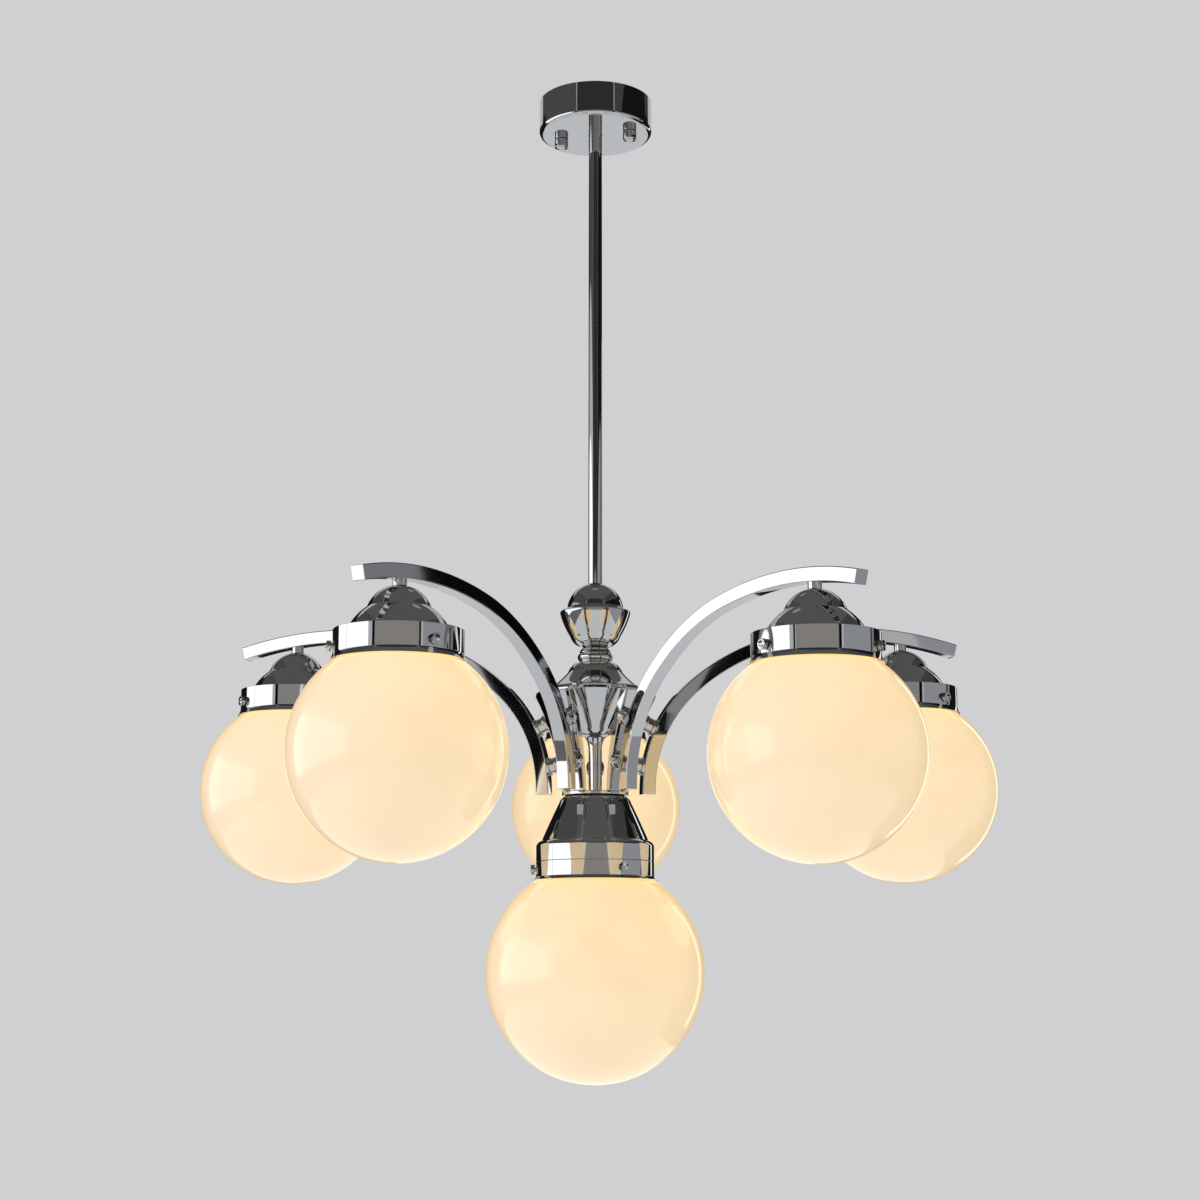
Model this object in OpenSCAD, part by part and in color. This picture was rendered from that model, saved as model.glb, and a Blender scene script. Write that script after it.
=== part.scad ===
// Branch chandelier: a turned hub on a down rod carries five curved square-bar arms.
// Each arm holds an opal globe in a stepped gallery, and a larger globe hangs under the hub.
// Lengths are millimetres and angles are degrees. +Z is up.
// The origin lies on the rod's axis at the ceiling.

/* [Overall] */
// Ceiling down to the lower ends of the arms
foot_drop = 678.5; // [560:0.5:1200]
// Gap between pieces that move on each other
running_gap = 0.3; // [0.25:0.05:0.4]
// Gap between a fixed piece and the hole that it sits in
fit_gap = 0.1; // [0.05:0.05:0.2]
// Wall of the spun sheet parts
sheet_wall = 1.2; // [1:0.1:1.5]

/* [Canopy] */
// Diameter of the canopy
canopy_d = 110; // [106:1:130]
// Height of the canopy
canopy_h = 33; // [31:1:45]
// Radius of the canopy's lower edge
canopy_edge_r = 4; // [2:0.5:6]
// Diameter of the two cap nuts
cap_nut_d = 13; // [10:0.5:15]
// Height of the cap nuts
cap_nut_h = 10; // [9:0.5:14]

/* [Ceiling bracket] */
// Direction of the bracket's strap
strap_turn = -17; // [-45:1:45]
// Width of the strap
strap_w = 20; // [19:0.5:24]
// Thickness of the strap
strap_t = 2.5; // [2:0.25:3]
// Ceiling down to the top of the strap's middle
strap_drop = 12; // [11:0.5:14]
// Distance between the two ceiling screws
screw_spacing = 93; // [92:0.5:94]
// Diameter of the ceiling screw holes
screw_hole_d = 5; // [4:0.5:5.5]
// Length of each foot of the strap
strap_foot = 9; // [8:0.5:9.5]
// Distance between the two studs
stud_spacing = 70; // [64:1:72]
// Diameter of the studs
stud_d = 4; // [3:0.5:5]
// Length of the terminal block
block_l = 19; // [15:0.5:20]
// Width of the terminal block
block_w = 18; // [14:0.5:20]
// Height of the terminal block
block_h = 13; // [10:0.5:15]

/* [Rod] */
// Outer diameter of the down rod
rod_d = 13; // [12:0.5:16]
// Bore of the down rod
rod_bore = 8.4; // [8.4:0.1:9]
// Diameter of the rod's threaded top end
rod_thread_d = 10; // [9.5:0.5:11]
// Width across the flats of the rod's nut
nut_flats = 17; // [16:0.5:19]
// Height of the rod's nut
nut_h = 6; // [4:0.5:7]
// Diameter of the tie rod through the hub
tie_d = 8; // [7:0.5:8]
// Bore of the tie rod, for the wires
tie_bore = 5; // [4:0.5:6]
// Depth that the down rod enters the ball cap
rod_socket = 10; // [6:0.5:14]

/* [Hub above the arms] */
// Radius of the ball on the ball cap
ball_r = 26.5; // [25:0.1:29]
// Height of the ball above its shoulder
ball_rise = 23.9; // [22:0.1:24]
// Depth of the ball's centre under its shoulder's top
ball_sink = 2.5; // [1:0.1:3]
// Height of the conical shoulder under the ball
shoulder_h = 4.3; // [3:0.1:6]
// Radius of the spindle cup's rim
cup_rim_r = 33; // [30:0.5:36]
// Radius of the spindle cup where its taper ends
cup_waist_r = 23; // [19:0.5:24]
// Height of the spindle cup's taper
cup_taper_h = 22.5; // [19:0.5:27]
// Height of the spindle cup's rounded foot
cup_foot_h = 10.8; // [8:0.2:13]
// Radius of the neck between spindle cup and collar
neck_r = 10.4; // [9:0.2:12]
// Radius of the collar's band
collar_r = 16.2; // [14:0.2:18]
// Height of the collar's band
collar_band_h = 7; // [5:0.5:9]
// Height of the collar's rounded shoulder
collar_curve_h = 6.5; // [5:0.5:8]
// Radius of the bell cover at its top
bell_top_r = 15; // [13:0.5:16]
// Radius of the bell cover where its dome ends and its flare starts
bell_waist_r = 25.5; // [23:0.5:28]
// Radius of the bell cover's rim
bell_rim_r = 44; // [40:0.5:46]
// Height of the bell cover's dome
bell_dome_h = 10; // [8:0.5:12]
// Height of the bell cover's flare
bell_flare_h = 15.3; // [12:0.1:18]
// Thickness of the bell cover
bell_wall = 2; // [1.5:0.1:2.5]

/* [Column] */
// Radius of the column at its foot
stem_foot_r = 5.6; // [5.4:0.1:7]
// Radius of the column's stem under the curve
stem_top_r = 6.4; // [6:0.1:9]
// Height of the column's straight stem
stem_h = 43; // [38:0.5:48]
// Height of the curve between stem and cone
stem_curve_h = 11.5; // [9:0.5:14]
// Radius of the cone at its lower edge
cone_foot_r = 14.5; // [12:0.5:16]
// Radius of the cone at its top
cone_top_r = 38; // [34:0.5:40]
// Height of the cone
cone_h = 39.3; // [36:0.1:46]
// Radius of the spigot that carries the bell cover
spigot_r = 9; // [7:0.5:11]
// Height of the dish that closes the bell cover from below
dish_h = 2; // [1:0.1:4]

/* [Stays] */
// Rise of the stay plate's top above the lower ends of the arms
plate_rise = 0.5; // [0:0.5:3]
// Radius of the stay plate
plate_r = 31; // [30:0.5:33]
// Thickness of the stay plate
plate_t = 3; // [2.5:0.5:4]
// Distance from the axis to a stay's outer face at its foot
stay_foot = 30.8; // [29:0.1:30.8]
// Radius of a stay's outer face
stay_r = 239; // [225:1:255]
// Lean of a stay at its foot, as its heading above the level
stay_lean = 85; // [83:0.5:87]
// Sweep of a stay from its foot to its rounded end
stay_sweep = 22.5; // [22:0.5:25]
// Thickness of a stay at its foot
stay_foot_t = 5; // [4.5:0.5:6]
// Thickness of a stay at its top
stay_top_t = 9; // [7:0.5:10]
// Diameter of the spacers between stay and arm
spacer_d = 17; // [13:0.5:18]
// Depth of the groove round each spacer
spacer_groove = 1; // [0.5:0.25:2]
// Diameter of the pins at the spacers' ends
spacer_pin_d = 5; // [4:0.5:6]
// Length of the pins at the spacers' ends
spacer_pin_l = 3; // [2:0.5:3.5]
// Heading of the arm at its upper spacer
upper_spacer_heading = 65; // [62:0.5:68]
// Heading of the arm at its lower spacer
lower_spacer_heading = 81; // [78:0.5:83]

/* [Arms] */
// Direction of arm 1
arm_1_turn = 90; // [86:1:94]
// Direction of arm 2
arm_2_turn = 15; // [12:1:20]
// Direction of arm 3
arm_3_turn = -54; // [-58:1:-50]
// Direction of arm 4
arm_4_turn = -121; // [-128:1:-118]
// Direction of arm 5
arm_5_turn = 162; // [158:1:166]
// Width of the square bar
bar_w = 12.7; // [11:0.1:13.5]
// Chamfer of the bar's long edges
bar_chamfer = 0.8; // [0.4:0.1:1.5]
// Distance from the axis to the bar's centreline at its lower end
arm_foot = 50.5; // [49:0.5:52]
// Radius of the foot bend
foot_bend_r = 200; // [150:5:260]
// Sweep of the foot bend
foot_bend_sweep = 4; // [3:0.5:5]
// Radius of the knee bend
knee_bend_r = 130; // [125:1:136]
// Sweep of the knee bend
knee_bend_sweep = 44; // [42:0.5:46]
// Radius of the shoulder bend
shoulder_bend_r = 215; // [205:1:225]
// Sweep of the shoulder bend
shoulder_bend_sweep = 30; // [28:0.5:32]
// Radius of the tip bend
tip_bend_r = 367; // [350:1:380]
// Sweep of the tip bend
tip_bend_sweep = 27; // [25:0.5:29]
// Slope of the arm where the gallery hangs
gallery_slope = 6.1; // [5:0.1:7]

/* [Galleries] */
// Diameter of the nipple between arm and gallery
nipple_d = 10; // [9:0.5:10]
// Diameter of the nipple's collar between arm and gallery
nipple_collar_d = 11.8; // [11:0.1:12.5]
// Length of the nipple that shows under the arm
nipple_show = 5.9; // [4:0.1:9]
// Depth that the nipple enters the arm
nipple_depth = 7; // [5:0.5:8]
// Radius of the gallery's upper dome
upper_dome_r = 28.3; // [27:0.1:30]
// Height of the gallery's upper dome
upper_dome_h = 17.9; // [16:0.1:20]
// Radius of the flat on top of the gallery
gallery_flat_r = 6.5; // [6:0.1:8]
// Radius of the gallery's lower dome
lower_dome_r = 46.9; // [46:0.1:49]
// Height of the gallery's lower dome
lower_dome_h = 19.2; // [17:0.1:21]
// Height of the gallery's ring wall
ring_h = 18.8; // [17:0.1:21]
// Height of the flared lip under the ring wall
lip_h = 5.7; // [4:0.1:7]
// Spread of the lip beyond the ring wall
lip_spread = 2.5; // [1.5:0.1:4]
// Gap between a globe's neck and the ring round it
neck_gap = 2.3; // [1.8:0.1:2.6]

/* [Centre gallery] */
// Radius of the lower bell at its top
lower_bell_top_r = 26; // [24:0.5:28]
// Radius of the lower bell under its rounded top
lower_bell_round_r = 33.5; // [32:0.5:35]
// Radius of the lower bell where its cone ends
lower_bell_cone_r = 49.4; // [48:0.2:50]
// Radius of the lower bell's skirt
skirt_r = 54.4; // [54.3:0.1:57]
// Height of the lower bell's rounded top
lower_bell_round_h = 6.5; // [5:0.5:8]
// Height of the lower bell's cone
lower_bell_cone_h = 35; // [32:0.5:38]
// Height of the round between the cone and the skirt
lower_bell_bead_h = 5; // [4:0.5:6]
// Height of the lower bell's skirt
skirt_h = 14.4; // [13:0.1:17]
// Height of the centre gallery's ring wall
centre_ring_h = 13.6; // [12:0.1:16]
// Height of the centre gallery's lip
centre_lip_h = 3.1; // [2.5:0.1:5]
// Spread of the centre gallery's lip beyond its wall
centre_lip_spread = 4.6; // [3:0.1:6]
// Height of the spigot that the centre gallery pushes into the skirt
centre_spigot_h = 8; // [5:0.5:12]

/* [Globes] */
// Diameter of an arm globe
arm_globe_d = 180; // [160:1:200]
// Diameter of the centre globe
centre_globe_d = 200; // [180:1:240]
// Diameter of the globes' necks
globe_neck_d = 100; // [96:1:100]
// Wall of the globes
glass_wall = 3; // [2.5:0.25:4]
// Height of an arm globe's neck
arm_neck_h = 17; // [15:0.5:20]
// Height of the centre globe's neck
centre_neck_h = 16; // [14:0.5:20]
// Lower edge of an arm gallery's ring wall down to the foot of the globe's neck
arm_neck_drop = 3.4; // [2:0.1:4]
// Lower edge of the centre gallery's wall down to the foot of the globe's neck
centre_neck_drop = 0.1; // [0:0.1:1]

/* [Thumbscrews] */
// Diameter of a thumbscrew's shank
screw_d = 4; // [3:0.5:5]
// Diameter of a thumbscrew's head
screw_head_d = 9; // [7:0.5:11]
// Height of a thumbscrew's head
screw_head_h = 5; // [4:0.5:7]
// Gap between the head and the ring wall when the screw holds the globe
screw_head_gap = 1; // [0.5:0.1:2]
// Lower edge of the ring wall up to the thumbscrews
screw_rise = 6; // [5.5:0.1:6.5]
// Direction of the first thumbscrew on gallery 1
screws_1_turn = -90; // [-180:1:180]
// Direction of the first thumbscrew on gallery 2
screws_2_turn = -49; // [-180:1:180]
// Direction of the first thumbscrew on gallery 3
screws_3_turn = -25; // [-180:1:180]
// Direction of the first thumbscrew on gallery 4
screws_4_turn = -53; // [-180:1:180]
// Direction of the first thumbscrew on gallery 5
screws_5_turn = -149; // [-180:1:180]
// Direction of the first thumbscrew on the centre gallery
centre_screws_turn = -61; // [-180:1:180]

/* [Lamps] */
// Diameter of a lampholder
holder_d = 38; // [35:0.5:40]
// Height of a lampholder
holder_h = 50; // [46:0.5:56]
// Height of a lampholder's cap
holder_cap_h = 14; // [12:0.5:16]
// Diameter of a lampholder's neck
holder_neck_d = 16; // [14:0.5:20]
// Diameter of a bulb's screw cap
bulb_cap_d = 26; // [24:0.5:27]
// Length of a bulb's screw cap
bulb_cap_h = 25; // [22:0.5:27]
// Diameter of a bulb
bulb_d = 45; // [40:1:60]
// Lampholder's lower edge down to the centre of the bulb's ball
bulb_drop = 26; // [24:0.5:32]

/* [Hidden] */
$fn = 96;

// Small overlap that lets a cut pass clean through a face
cut = 1;
// Each bend of an arm runs this much into the next, as degrees times its radius
bend_lap = 1;
arm_turns = [arm_1_turn, arm_2_turn, arm_3_turn, arm_4_turn, arm_5_turn];
screws_turns = [screws_1_turn, screws_2_turn, screws_3_turn, screws_4_turn, screws_5_turn];

// Share of a cap nut's height that its stud enters, and that its blind bore takes
stud_share = 0.6;
bore_share = 0.65;
// Threads run this far past their nuts
thread_end = 2;
// The tie rod reaches this far above the lower end of the down rod
tie_reach = 14;
// The terminal block stands this far from the rod, and the rod's thread has this much more
// room for the wires than the tie rod
block_gap = 3;
wire_room = 1;
// Rise of each turned curve over its chord
cup_foot_bow = 1.2;
collar_bow = 1.5;
bell_dome_bow = 1.8;
bell_flare_bow = 1.2;
stem_bow = 2;
lower_bell_top_bow = 1.5;
lower_bell_bead_bow = 1;
holder_cap_bow = 2;
bulb_neck_bow = 1.5;
// A bulb's screw cap shows this much under its lampholder
bulb_cap_show = 1.5;
// Wall of the centre gallery's spigot, and the width of the edge that its lip ends in
centre_spigot_wall = 1.3;
centre_lip_edge = 1.5;
// The centre gallery's thumbscrews sit higher than the arm galleries' by this much
centre_screw_lift = 1;
// Height and width of the bell cover's rim, as shares of its thickness
rim_share = 0.7;
rim_edge_share = 0.6;
// The dish ends this far inside the bell cover's rim, in an edge of this height
dish_step = 0.5;
dish_edge_h = 0.4;
// Width and depth of a thumbscrew's slot
slot_w = 1.2;
slot_depth = 1.5;

// The tie rod has a flange under the lower bell's top, which clamps the hub together
tie_flange_h = 4;
tie_flange_r = 9;
// The tie rod's and the nipples' lower ends reach this far into a lampholder's neck
holder_thread = 8;

// Levels in the hub's own frame, whose zero is the lower ends of the arms
plate_top = plate_rise;
plate_foot = plate_top - plate_t;
stem_top = plate_top + stem_h;
cone_foot = stem_top + stem_curve_h;
cone_top = cone_foot + cone_h;
bell_rim_foot = cone_top + dish_h;
bell_rim = bell_rim_foot + bell_wall * rim_share;
bell_waist = bell_rim + bell_flare_h;
bell_top = bell_waist + bell_dome_h;
collar_top = bell_top + collar_band_h + collar_curve_h;
cup_top = collar_top + cup_foot_h + cup_taper_h;
ball_foot = cup_top + shoulder_h;
cap_top = ball_foot + ball_rise;
rod_foot = cap_top - rod_socket;
round_foot = plate_foot - lower_bell_round_h;
bell_cone_foot = round_foot - lower_bell_cone_h;
skirt_top = bell_cone_foot - lower_bell_bead_h;
skirt_foot = skirt_top - skirt_h;
centre_wall_foot = skirt_foot - centre_ring_h;
centre_holder_top = plate_foot - sheet_wall - tie_flange_h;

// Arm: each bend is its radius and its sweep
arm_bends = [
  [foot_bend_r, foot_bend_sweep], [knee_bend_r, knee_bend_sweep],
  [shoulder_bend_r, shoulder_bend_sweep], [tip_bend_r, tip_bend_sweep]
];
knee = 1;
tip = len(arm_bends) - 1;
tip_centre = bend_centre(tip);
knee_centre = bend_centre(knee);
arm_reach = tip_centre[0] + tip_bend_r * sin(gallery_slope);
arm_underside = tip_centre[1]
  + sqrt(pow(tip_bend_r - bar_w / 2, 2) - pow(arm_reach - tip_centre[0], 2));
gallery_top = arm_underside - nipple_show;

// Gallery levels in its own frame, whose zero is the gallery's top
upper_dome_foot = -upper_dome_h;
lower_dome_foot = upper_dome_foot - lower_dome_h;
ring_foot = lower_dome_foot - ring_h - sheet_wall / 2;
arm_screw_z = gallery_top + ring_foot + screw_rise;
centre_screw_z = centre_wall_foot + screw_rise + centre_screw_lift;
neck_r_out = globe_neck_d / 2;
ring_bore_r = neck_r_out + neck_gap;
ring_r = ring_bore_r + sheet_wall;
centre_spigot_r = skirt_r - sheet_wall - fit_gap;
centre_ring_bore_r = centre_spigot_r - centre_spigot_wall;
// The lampholder's neck stands just inside the gallery's domed top
upper_dome_c = -sqrt(pow(upper_dome_r, 2) - pow(gallery_flat_r, 2));
arm_holder_top = gallery_top + upper_dome_c - fit_gap
  + sqrt(pow(upper_dome_r - sheet_wall, 2) - pow(holder_neck_d / 2, 2));

// Stay: centre of its outer face, and its thickness grows evenly to the top
stay_centre = [stay_foot + stay_r * sin(stay_lean), plate_top - stay_r * cos(stay_lean)];
stay_top_heading = stay_lean - stay_sweep;

// Start of bend i: distance from the axis, level and heading
function bend_start(i) =
  i == 0 ? [arm_foot, 0, 90]
  : let (c = bend_centre(i - 1), r = arm_bends[i - 1][0],
         h = bend_start(i - 1)[2] - arm_bends[i - 1][1])
    [c[0] - r * sin(h), c[1] + r * cos(h), h];
// Centre of bend i
function bend_centre(i) =
  let (s = bend_start(i), r = arm_bends[i][0])
  [s[0] + r * sin(s[2]), s[1] - r * cos(s[2])];
// Point at heading h on a bend with centre c and radius r
function on_bend(c, r, h) = [c[0] - r * sin(h), c[1] + r * cos(h)];
// Points of the arc from p to q that bows out by s to the left of the way
function bow(p, q, s, n = 8) =
  let (l = norm(q - p), r = (l * l / 4 + s * s) / (2 * s),
       o = (p + q) / 2 + [p[1] - q[1], q[0] - p[0]] / l * (s - r),
       turn = -4 * atan(2 * s / l), v = p - o)
  [for (i = [0:n]) let (a = turn * i / n)
    o + [v[0] * cos(a) - v[1] * sin(a), v[0] * sin(a) + v[1] * cos(a)]];
// Circle through three points: its centre
function centre_of(a, b, c) =
  let (d = 2 * (a[0] * (b[1] - c[1]) + b[0] * (c[1] - a[1]) + c[0] * (a[1] - b[1])),
       aa = a * a, bb = b * b, cc = c * c)
  [(aa * (b[1] - c[1]) + bb * (c[1] - a[1]) + cc * (a[1] - b[1])) / d,
   (aa * (c[0] - b[0]) + bb * (a[0] - c[0]) + cc * (b[0] - a[0])) / d];

module in_hub() {
  translate([0, 0, -foot_drop]) children();
}

// Places a piece on the axis of arm globe i
module at_globe(i) {
  rotate(arm_turns[i - 1]) translate([arm_reach, 0, 0]) children();
}

// Ceiling bracket: a strap bent to a bridge, with the two studs for the canopy
module ceiling_bracket() {
  leg_x = screw_spacing / 2 - strap_foot / 2;
  end_x = leg_x + strap_foot;
  under = -strap_drop - strap_t;
  stud_foot = -canopy_h - cap_nut_h * stud_share;
  color("gainsboro") rotate(strap_turn) difference() {
    union() {
      rotate([90, 0, 0]) linear_extrude(strap_w, center = true) polygon([
        [-end_x, 0], [-leg_x + strap_t, 0], [-leg_x + strap_t, -strap_drop],
        [leg_x - strap_t, -strap_drop], [leg_x - strap_t, 0], [end_x, 0],
        [end_x, -strap_t], [leg_x, -strap_t], [leg_x, under],
        [-leg_x, under], [-leg_x, -strap_t], [-end_x, -strap_t]
      ]);
      for (side = [-1, 1]) translate([side * stud_spacing / 2, 0, stud_foot])
        cylinder(d = stud_d, h = thread_end - strap_drop - stud_foot);
    }
    translate([0, 0, under - cut]) cylinder(d = rod_thread_d + 2 * fit_gap, h = strap_t + 2 * cut);
    for (side = [-1, 1]) translate([side * screw_spacing / 2, 0, -strap_t - cut])
      cylinder(d = screw_hole_d, h = strap_t + 2 * cut);
  }
}

// Terminal block under the strap, beside the rod
module terminal_block() {
  block_x = rod_d / 2 + block_gap;
  color("ivory") rotate(strap_turn)
    translate([block_x, -block_w / 2, -strap_drop - strap_t - block_h]) difference() {
      cube([block_l, block_w, block_h]);
      for (way = [1, 3, 5]) translate([-cut, block_w * way / 6, block_h / 2])
        rotate([0, 90, 0]) cylinder(d = block_w / 6, h = block_l + 2 * cut);
    }
}

// Canopy: a drawn cup, open at the ceiling
module canopy() {
  r = canopy_d / 2;
  color("silver") difference() {
    rotate_extrude() difference() {
      union() {
        translate([0, -canopy_h + canopy_edge_r]) square([r, canopy_h - canopy_edge_r]);
        translate([0, -canopy_h]) square([r - canopy_edge_r, canopy_edge_r]);
        translate([r - canopy_edge_r, -canopy_h + canopy_edge_r]) circle(canopy_edge_r);
      }
      translate([0, -canopy_h + canopy_edge_r]) square([r - sheet_wall, canopy_h]);
      translate([0, -canopy_h + sheet_wall]) square([r - canopy_edge_r, canopy_h]);
      translate([r - canopy_edge_r, -canopy_h + canopy_edge_r]) circle(canopy_edge_r - sheet_wall);
    }
    translate([0, 0, -canopy_h - cut])
      cylinder(d = rod_d + 2 * running_gap, h = sheet_wall + 2 * cut);
    rotate(strap_turn) for (side = [-1, 1])
      translate([side * stud_spacing / 2, 0, -canopy_h - cut])
        cylinder(d = stud_d + 2 * running_gap, h = sheet_wall + 2 * cut);
  }
}

// Cap nut: a round nut with a domed end and a blind bore
module canopy_nut(side) {
  dome_h = cap_nut_d / 5;
  dome_r = (cap_nut_d * cap_nut_d / 4 + dome_h * dome_h) / (2 * dome_h);
  color("silver") rotate(strap_turn) translate([side * stud_spacing / 2, 0, -canopy_h - running_gap])
    difference() {
      intersection() {
        translate([0, 0, -cap_nut_h]) cylinder(d = cap_nut_d, h = cap_nut_h);
        translate([0, 0, -cap_nut_h + dome_r]) sphere(dome_r);
      }
      translate([0, 0, -cap_nut_h * bore_share])
        cylinder(d = stud_d + 2 * running_gap, h = cap_nut_h);
    }
}

// Down rod: a tube whose threaded top end passes through the strap
module down_rod() {
  foot = -foot_drop + rod_foot;
  under = -strap_drop - strap_t;
  thread_h = strap_t + nut_h + thread_end;
  color("silver") difference() {
    union() {
      translate([0, 0, foot]) cylinder(d = rod_d, h = under - foot);
      translate([0, 0, under]) cylinder(d = rod_thread_d, h = thread_h);
    }
    translate([0, 0, foot - cut]) cylinder(d = rod_bore, h = under - foot + cut);
    translate([0, 0, under - cut]) cylinder(d = tie_bore + wire_room, h = thread_h + 2 * cut);
  }
}

// Nut that hangs the rod on the strap
module rod_nut() {
  color("gainsboro") translate([0, 0, -strap_drop]) difference() {
    cylinder(d = nut_flats / cos(30), h = nut_h, $fn = 6);
    translate([0, 0, -cut]) cylinder(d = rod_thread_d + 2 * fit_gap, h = nut_h + 2 * cut);
  }
}

// Tie rod: a tube from the rod through the hub, with a flange and a thread for the lampholder
module tie_rod() {
  flange_top = plate_foot - sheet_wall;
  color("silver") in_hub() difference() {
    union() {
      translate([0, 0, flange_top]) cylinder(d = tie_d, h = rod_foot + tie_reach - flange_top);
      translate([0, 0, flange_top - tie_flange_h]) cylinder(r = tie_flange_r, h = tie_flange_h);
      translate([0, 0, flange_top - tie_flange_h - holder_thread])
        cylinder(d = nipple_d, h = holder_thread);
    }
    translate([0, 0, flange_top - tie_flange_h - holder_thread - cut])
      cylinder(d = tie_bore, h = cap_top + holder_thread);
  }
}

// Ball cap: a half ball on a conical shoulder, with a socket for the rod
module ball_cap() {
  foot_r = sqrt(ball_r * ball_r - ball_sink * ball_sink);
  color("silver") in_hub() difference() {
    rotate_extrude() union() {
      polygon([[0, cup_top], [cup_rim_r, cup_top], [foot_r, ball_foot], [0, ball_foot]]);
      intersection() {
        translate([0, ball_foot - ball_sink]) circle(ball_r);
        translate([0, ball_foot]) square([ball_r, ball_rise]);
      }
    }
    translate([0, 0, cup_top - cut]) cylinder(d = tie_d + 2 * fit_gap, h = cap_top);
    translate([0, 0, rod_foot]) cylinder(d = rod_d + 2 * fit_gap, h = rod_socket + cut);
  }
}

// Spindle cup: a taper with a rounded foot
module spindle_cup() {
  bore = tie_d / 2 + fit_gap;
  waist = collar_top + cup_foot_h;
  color("silver") in_hub() rotate_extrude() polygon(concat(
    [[bore, collar_top], [bore, cup_top], [cup_rim_r, cup_top]],
    bow([cup_waist_r, waist], [neck_r, collar_top], cup_foot_bow)
  ));
}

// Collar: a rounded shoulder over a plain band
module collar() {
  bore = tie_d / 2 + fit_gap;
  band_top = bell_top + collar_band_h;
  color("silver") in_hub() rotate_extrude() polygon(concat(
    [[bore, bell_top], [collar_r, bell_top]],
    bow([collar_r, band_top], [neck_r, collar_top], -collar_bow),
    [[bore, collar_top]]
  ));
}

// Bell cover: a domed top that flares out to a thin rim, which stands on the column's dish
module bell_cover() {
  bore = tie_d / 2 + fit_gap;
  inner_top = bell_top - bell_wall;
  inner_waist = [bell_waist_r - bell_wall, bell_waist - bell_wall / 2];
  rim_edge = bell_wall * rim_edge_share;
  color("silver") in_hub() rotate_extrude() polygon(concat(
    [[bore, inner_top], [bore, bell_top]],
    bow([bell_top_r, bell_top], [bell_waist_r, bell_waist], bell_dome_bow),
    bow([bell_waist_r, bell_waist], [bell_rim_r, bell_rim], -bell_flare_bow),
    [[bell_rim_r, bell_rim_foot]],
    bow([bell_rim_r - rim_edge, bell_rim_foot], inner_waist, bell_flare_bow),
    bow(inner_waist, [bell_top_r - bell_wall, inner_top], -bell_dome_bow)
  ));
}

// Column: a thin stem that curves out to an inverted cone, with a dish that closes the bell
// cover and a spigot that reaches up to the bell cover's top
module column() {
  bore = tie_d / 2 + fit_gap;
  spigot_top = bell_top - bell_wall;
  dish_r = bell_rim_r - dish_step;
  color("silver") in_hub() rotate_extrude() polygon(concat(
    [[bore, plate_top], [stem_foot_r, plate_top]],
    bow([stem_top_r, stem_top], [cone_foot_r, cone_foot], -stem_bow),
    [[cone_top_r, cone_top], [dish_r, bell_rim_foot - dish_edge_h], [dish_r, bell_rim_foot],
     [spigot_r, bell_rim_foot], [spigot_r, spigot_top], [bore, spigot_top]]
  ));
}

// Stay plate: the disc that the stays stand on
module stay_plate() {
  bore = tie_d / 2 + fit_gap;
  bevel = plate_t / 5;
  color("silver") in_hub() rotate_extrude() polygon([
    [bore, plate_foot], [plate_r - bevel, plate_foot], [plate_r, plate_foot + bevel],
    [plate_r, plate_top - bevel], [plate_r - bevel, plate_top], [bore, plate_top]
  ]);
}

// Places a piece on the line of a spacer: its zero is on the arm's face and +Z points to the stay
module at_spacer(heading) {
  p = on_bend(knee_centre, knee_bend_r + bar_w / 2, heading);
  translate([p[0], 0, p[1]]) rotate([0, -heading, 0]) children();
}

// Distance along a spacer's line from the arm's face to the stay's outer face
function spacer_length(heading) =
  let (p = on_bend(knee_centre, knee_bend_r + bar_w / 2, heading) - stay_centre,
       n = [-sin(heading), cos(heading)], b = p * n)
  sqrt(b * b - p * p + stay_r * stay_r) - b;

// Outline of one stay between its two faces, with a rounded top end
module stay_outline() {
  mid_heading = stay_lean - stay_sweep / 2;
  mid_t = (stay_foot_t + stay_top_t) / 2;
  foot_in = on_bend(stay_centre, stay_r + stay_foot_t, stay_lean);
  mid_in = on_bend(stay_centre, stay_r + mid_t, mid_heading);
  top_in = on_bend(stay_centre, stay_r + stay_top_t, stay_top_heading);
  back_centre = centre_of(foot_in, mid_in, top_in);
  top_out = on_bend(stay_centre, stay_r, stay_top_heading);
  reach = stay_top_t * 2;
  intersection() {
    difference() {
      translate(back_centre) circle(norm(foot_in - back_centre), $fn = 720);
      translate(stay_centre) circle(stay_r, $fn = 720);
    }
    polygon([
      [0, plate_top], [stay_foot + reach, plate_top],
      top_out + (top_out - top_in) / stay_top_t * reach,
      top_in + (top_in - top_out) / stay_top_t * reach
    ]);
  }
  translate((top_out + top_in) / 2) circle(stay_top_t / 2);
}

// Five stays that lean out behind the arms
module stays() {
  color("silver") in_hub() for (turn = arm_turns) rotate(turn) difference() {
    rotate([90, 0, 0]) linear_extrude(bar_w, center = true) stay_outline();
    for (heading = [lower_spacer_heading, upper_spacer_heading]) at_spacer(heading)
      cylinder(d = spacer_pin_d + 2 * fit_gap,
               h = spacer_length(heading) + spacer_pin_l + fit_gap);
  }
}

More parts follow.
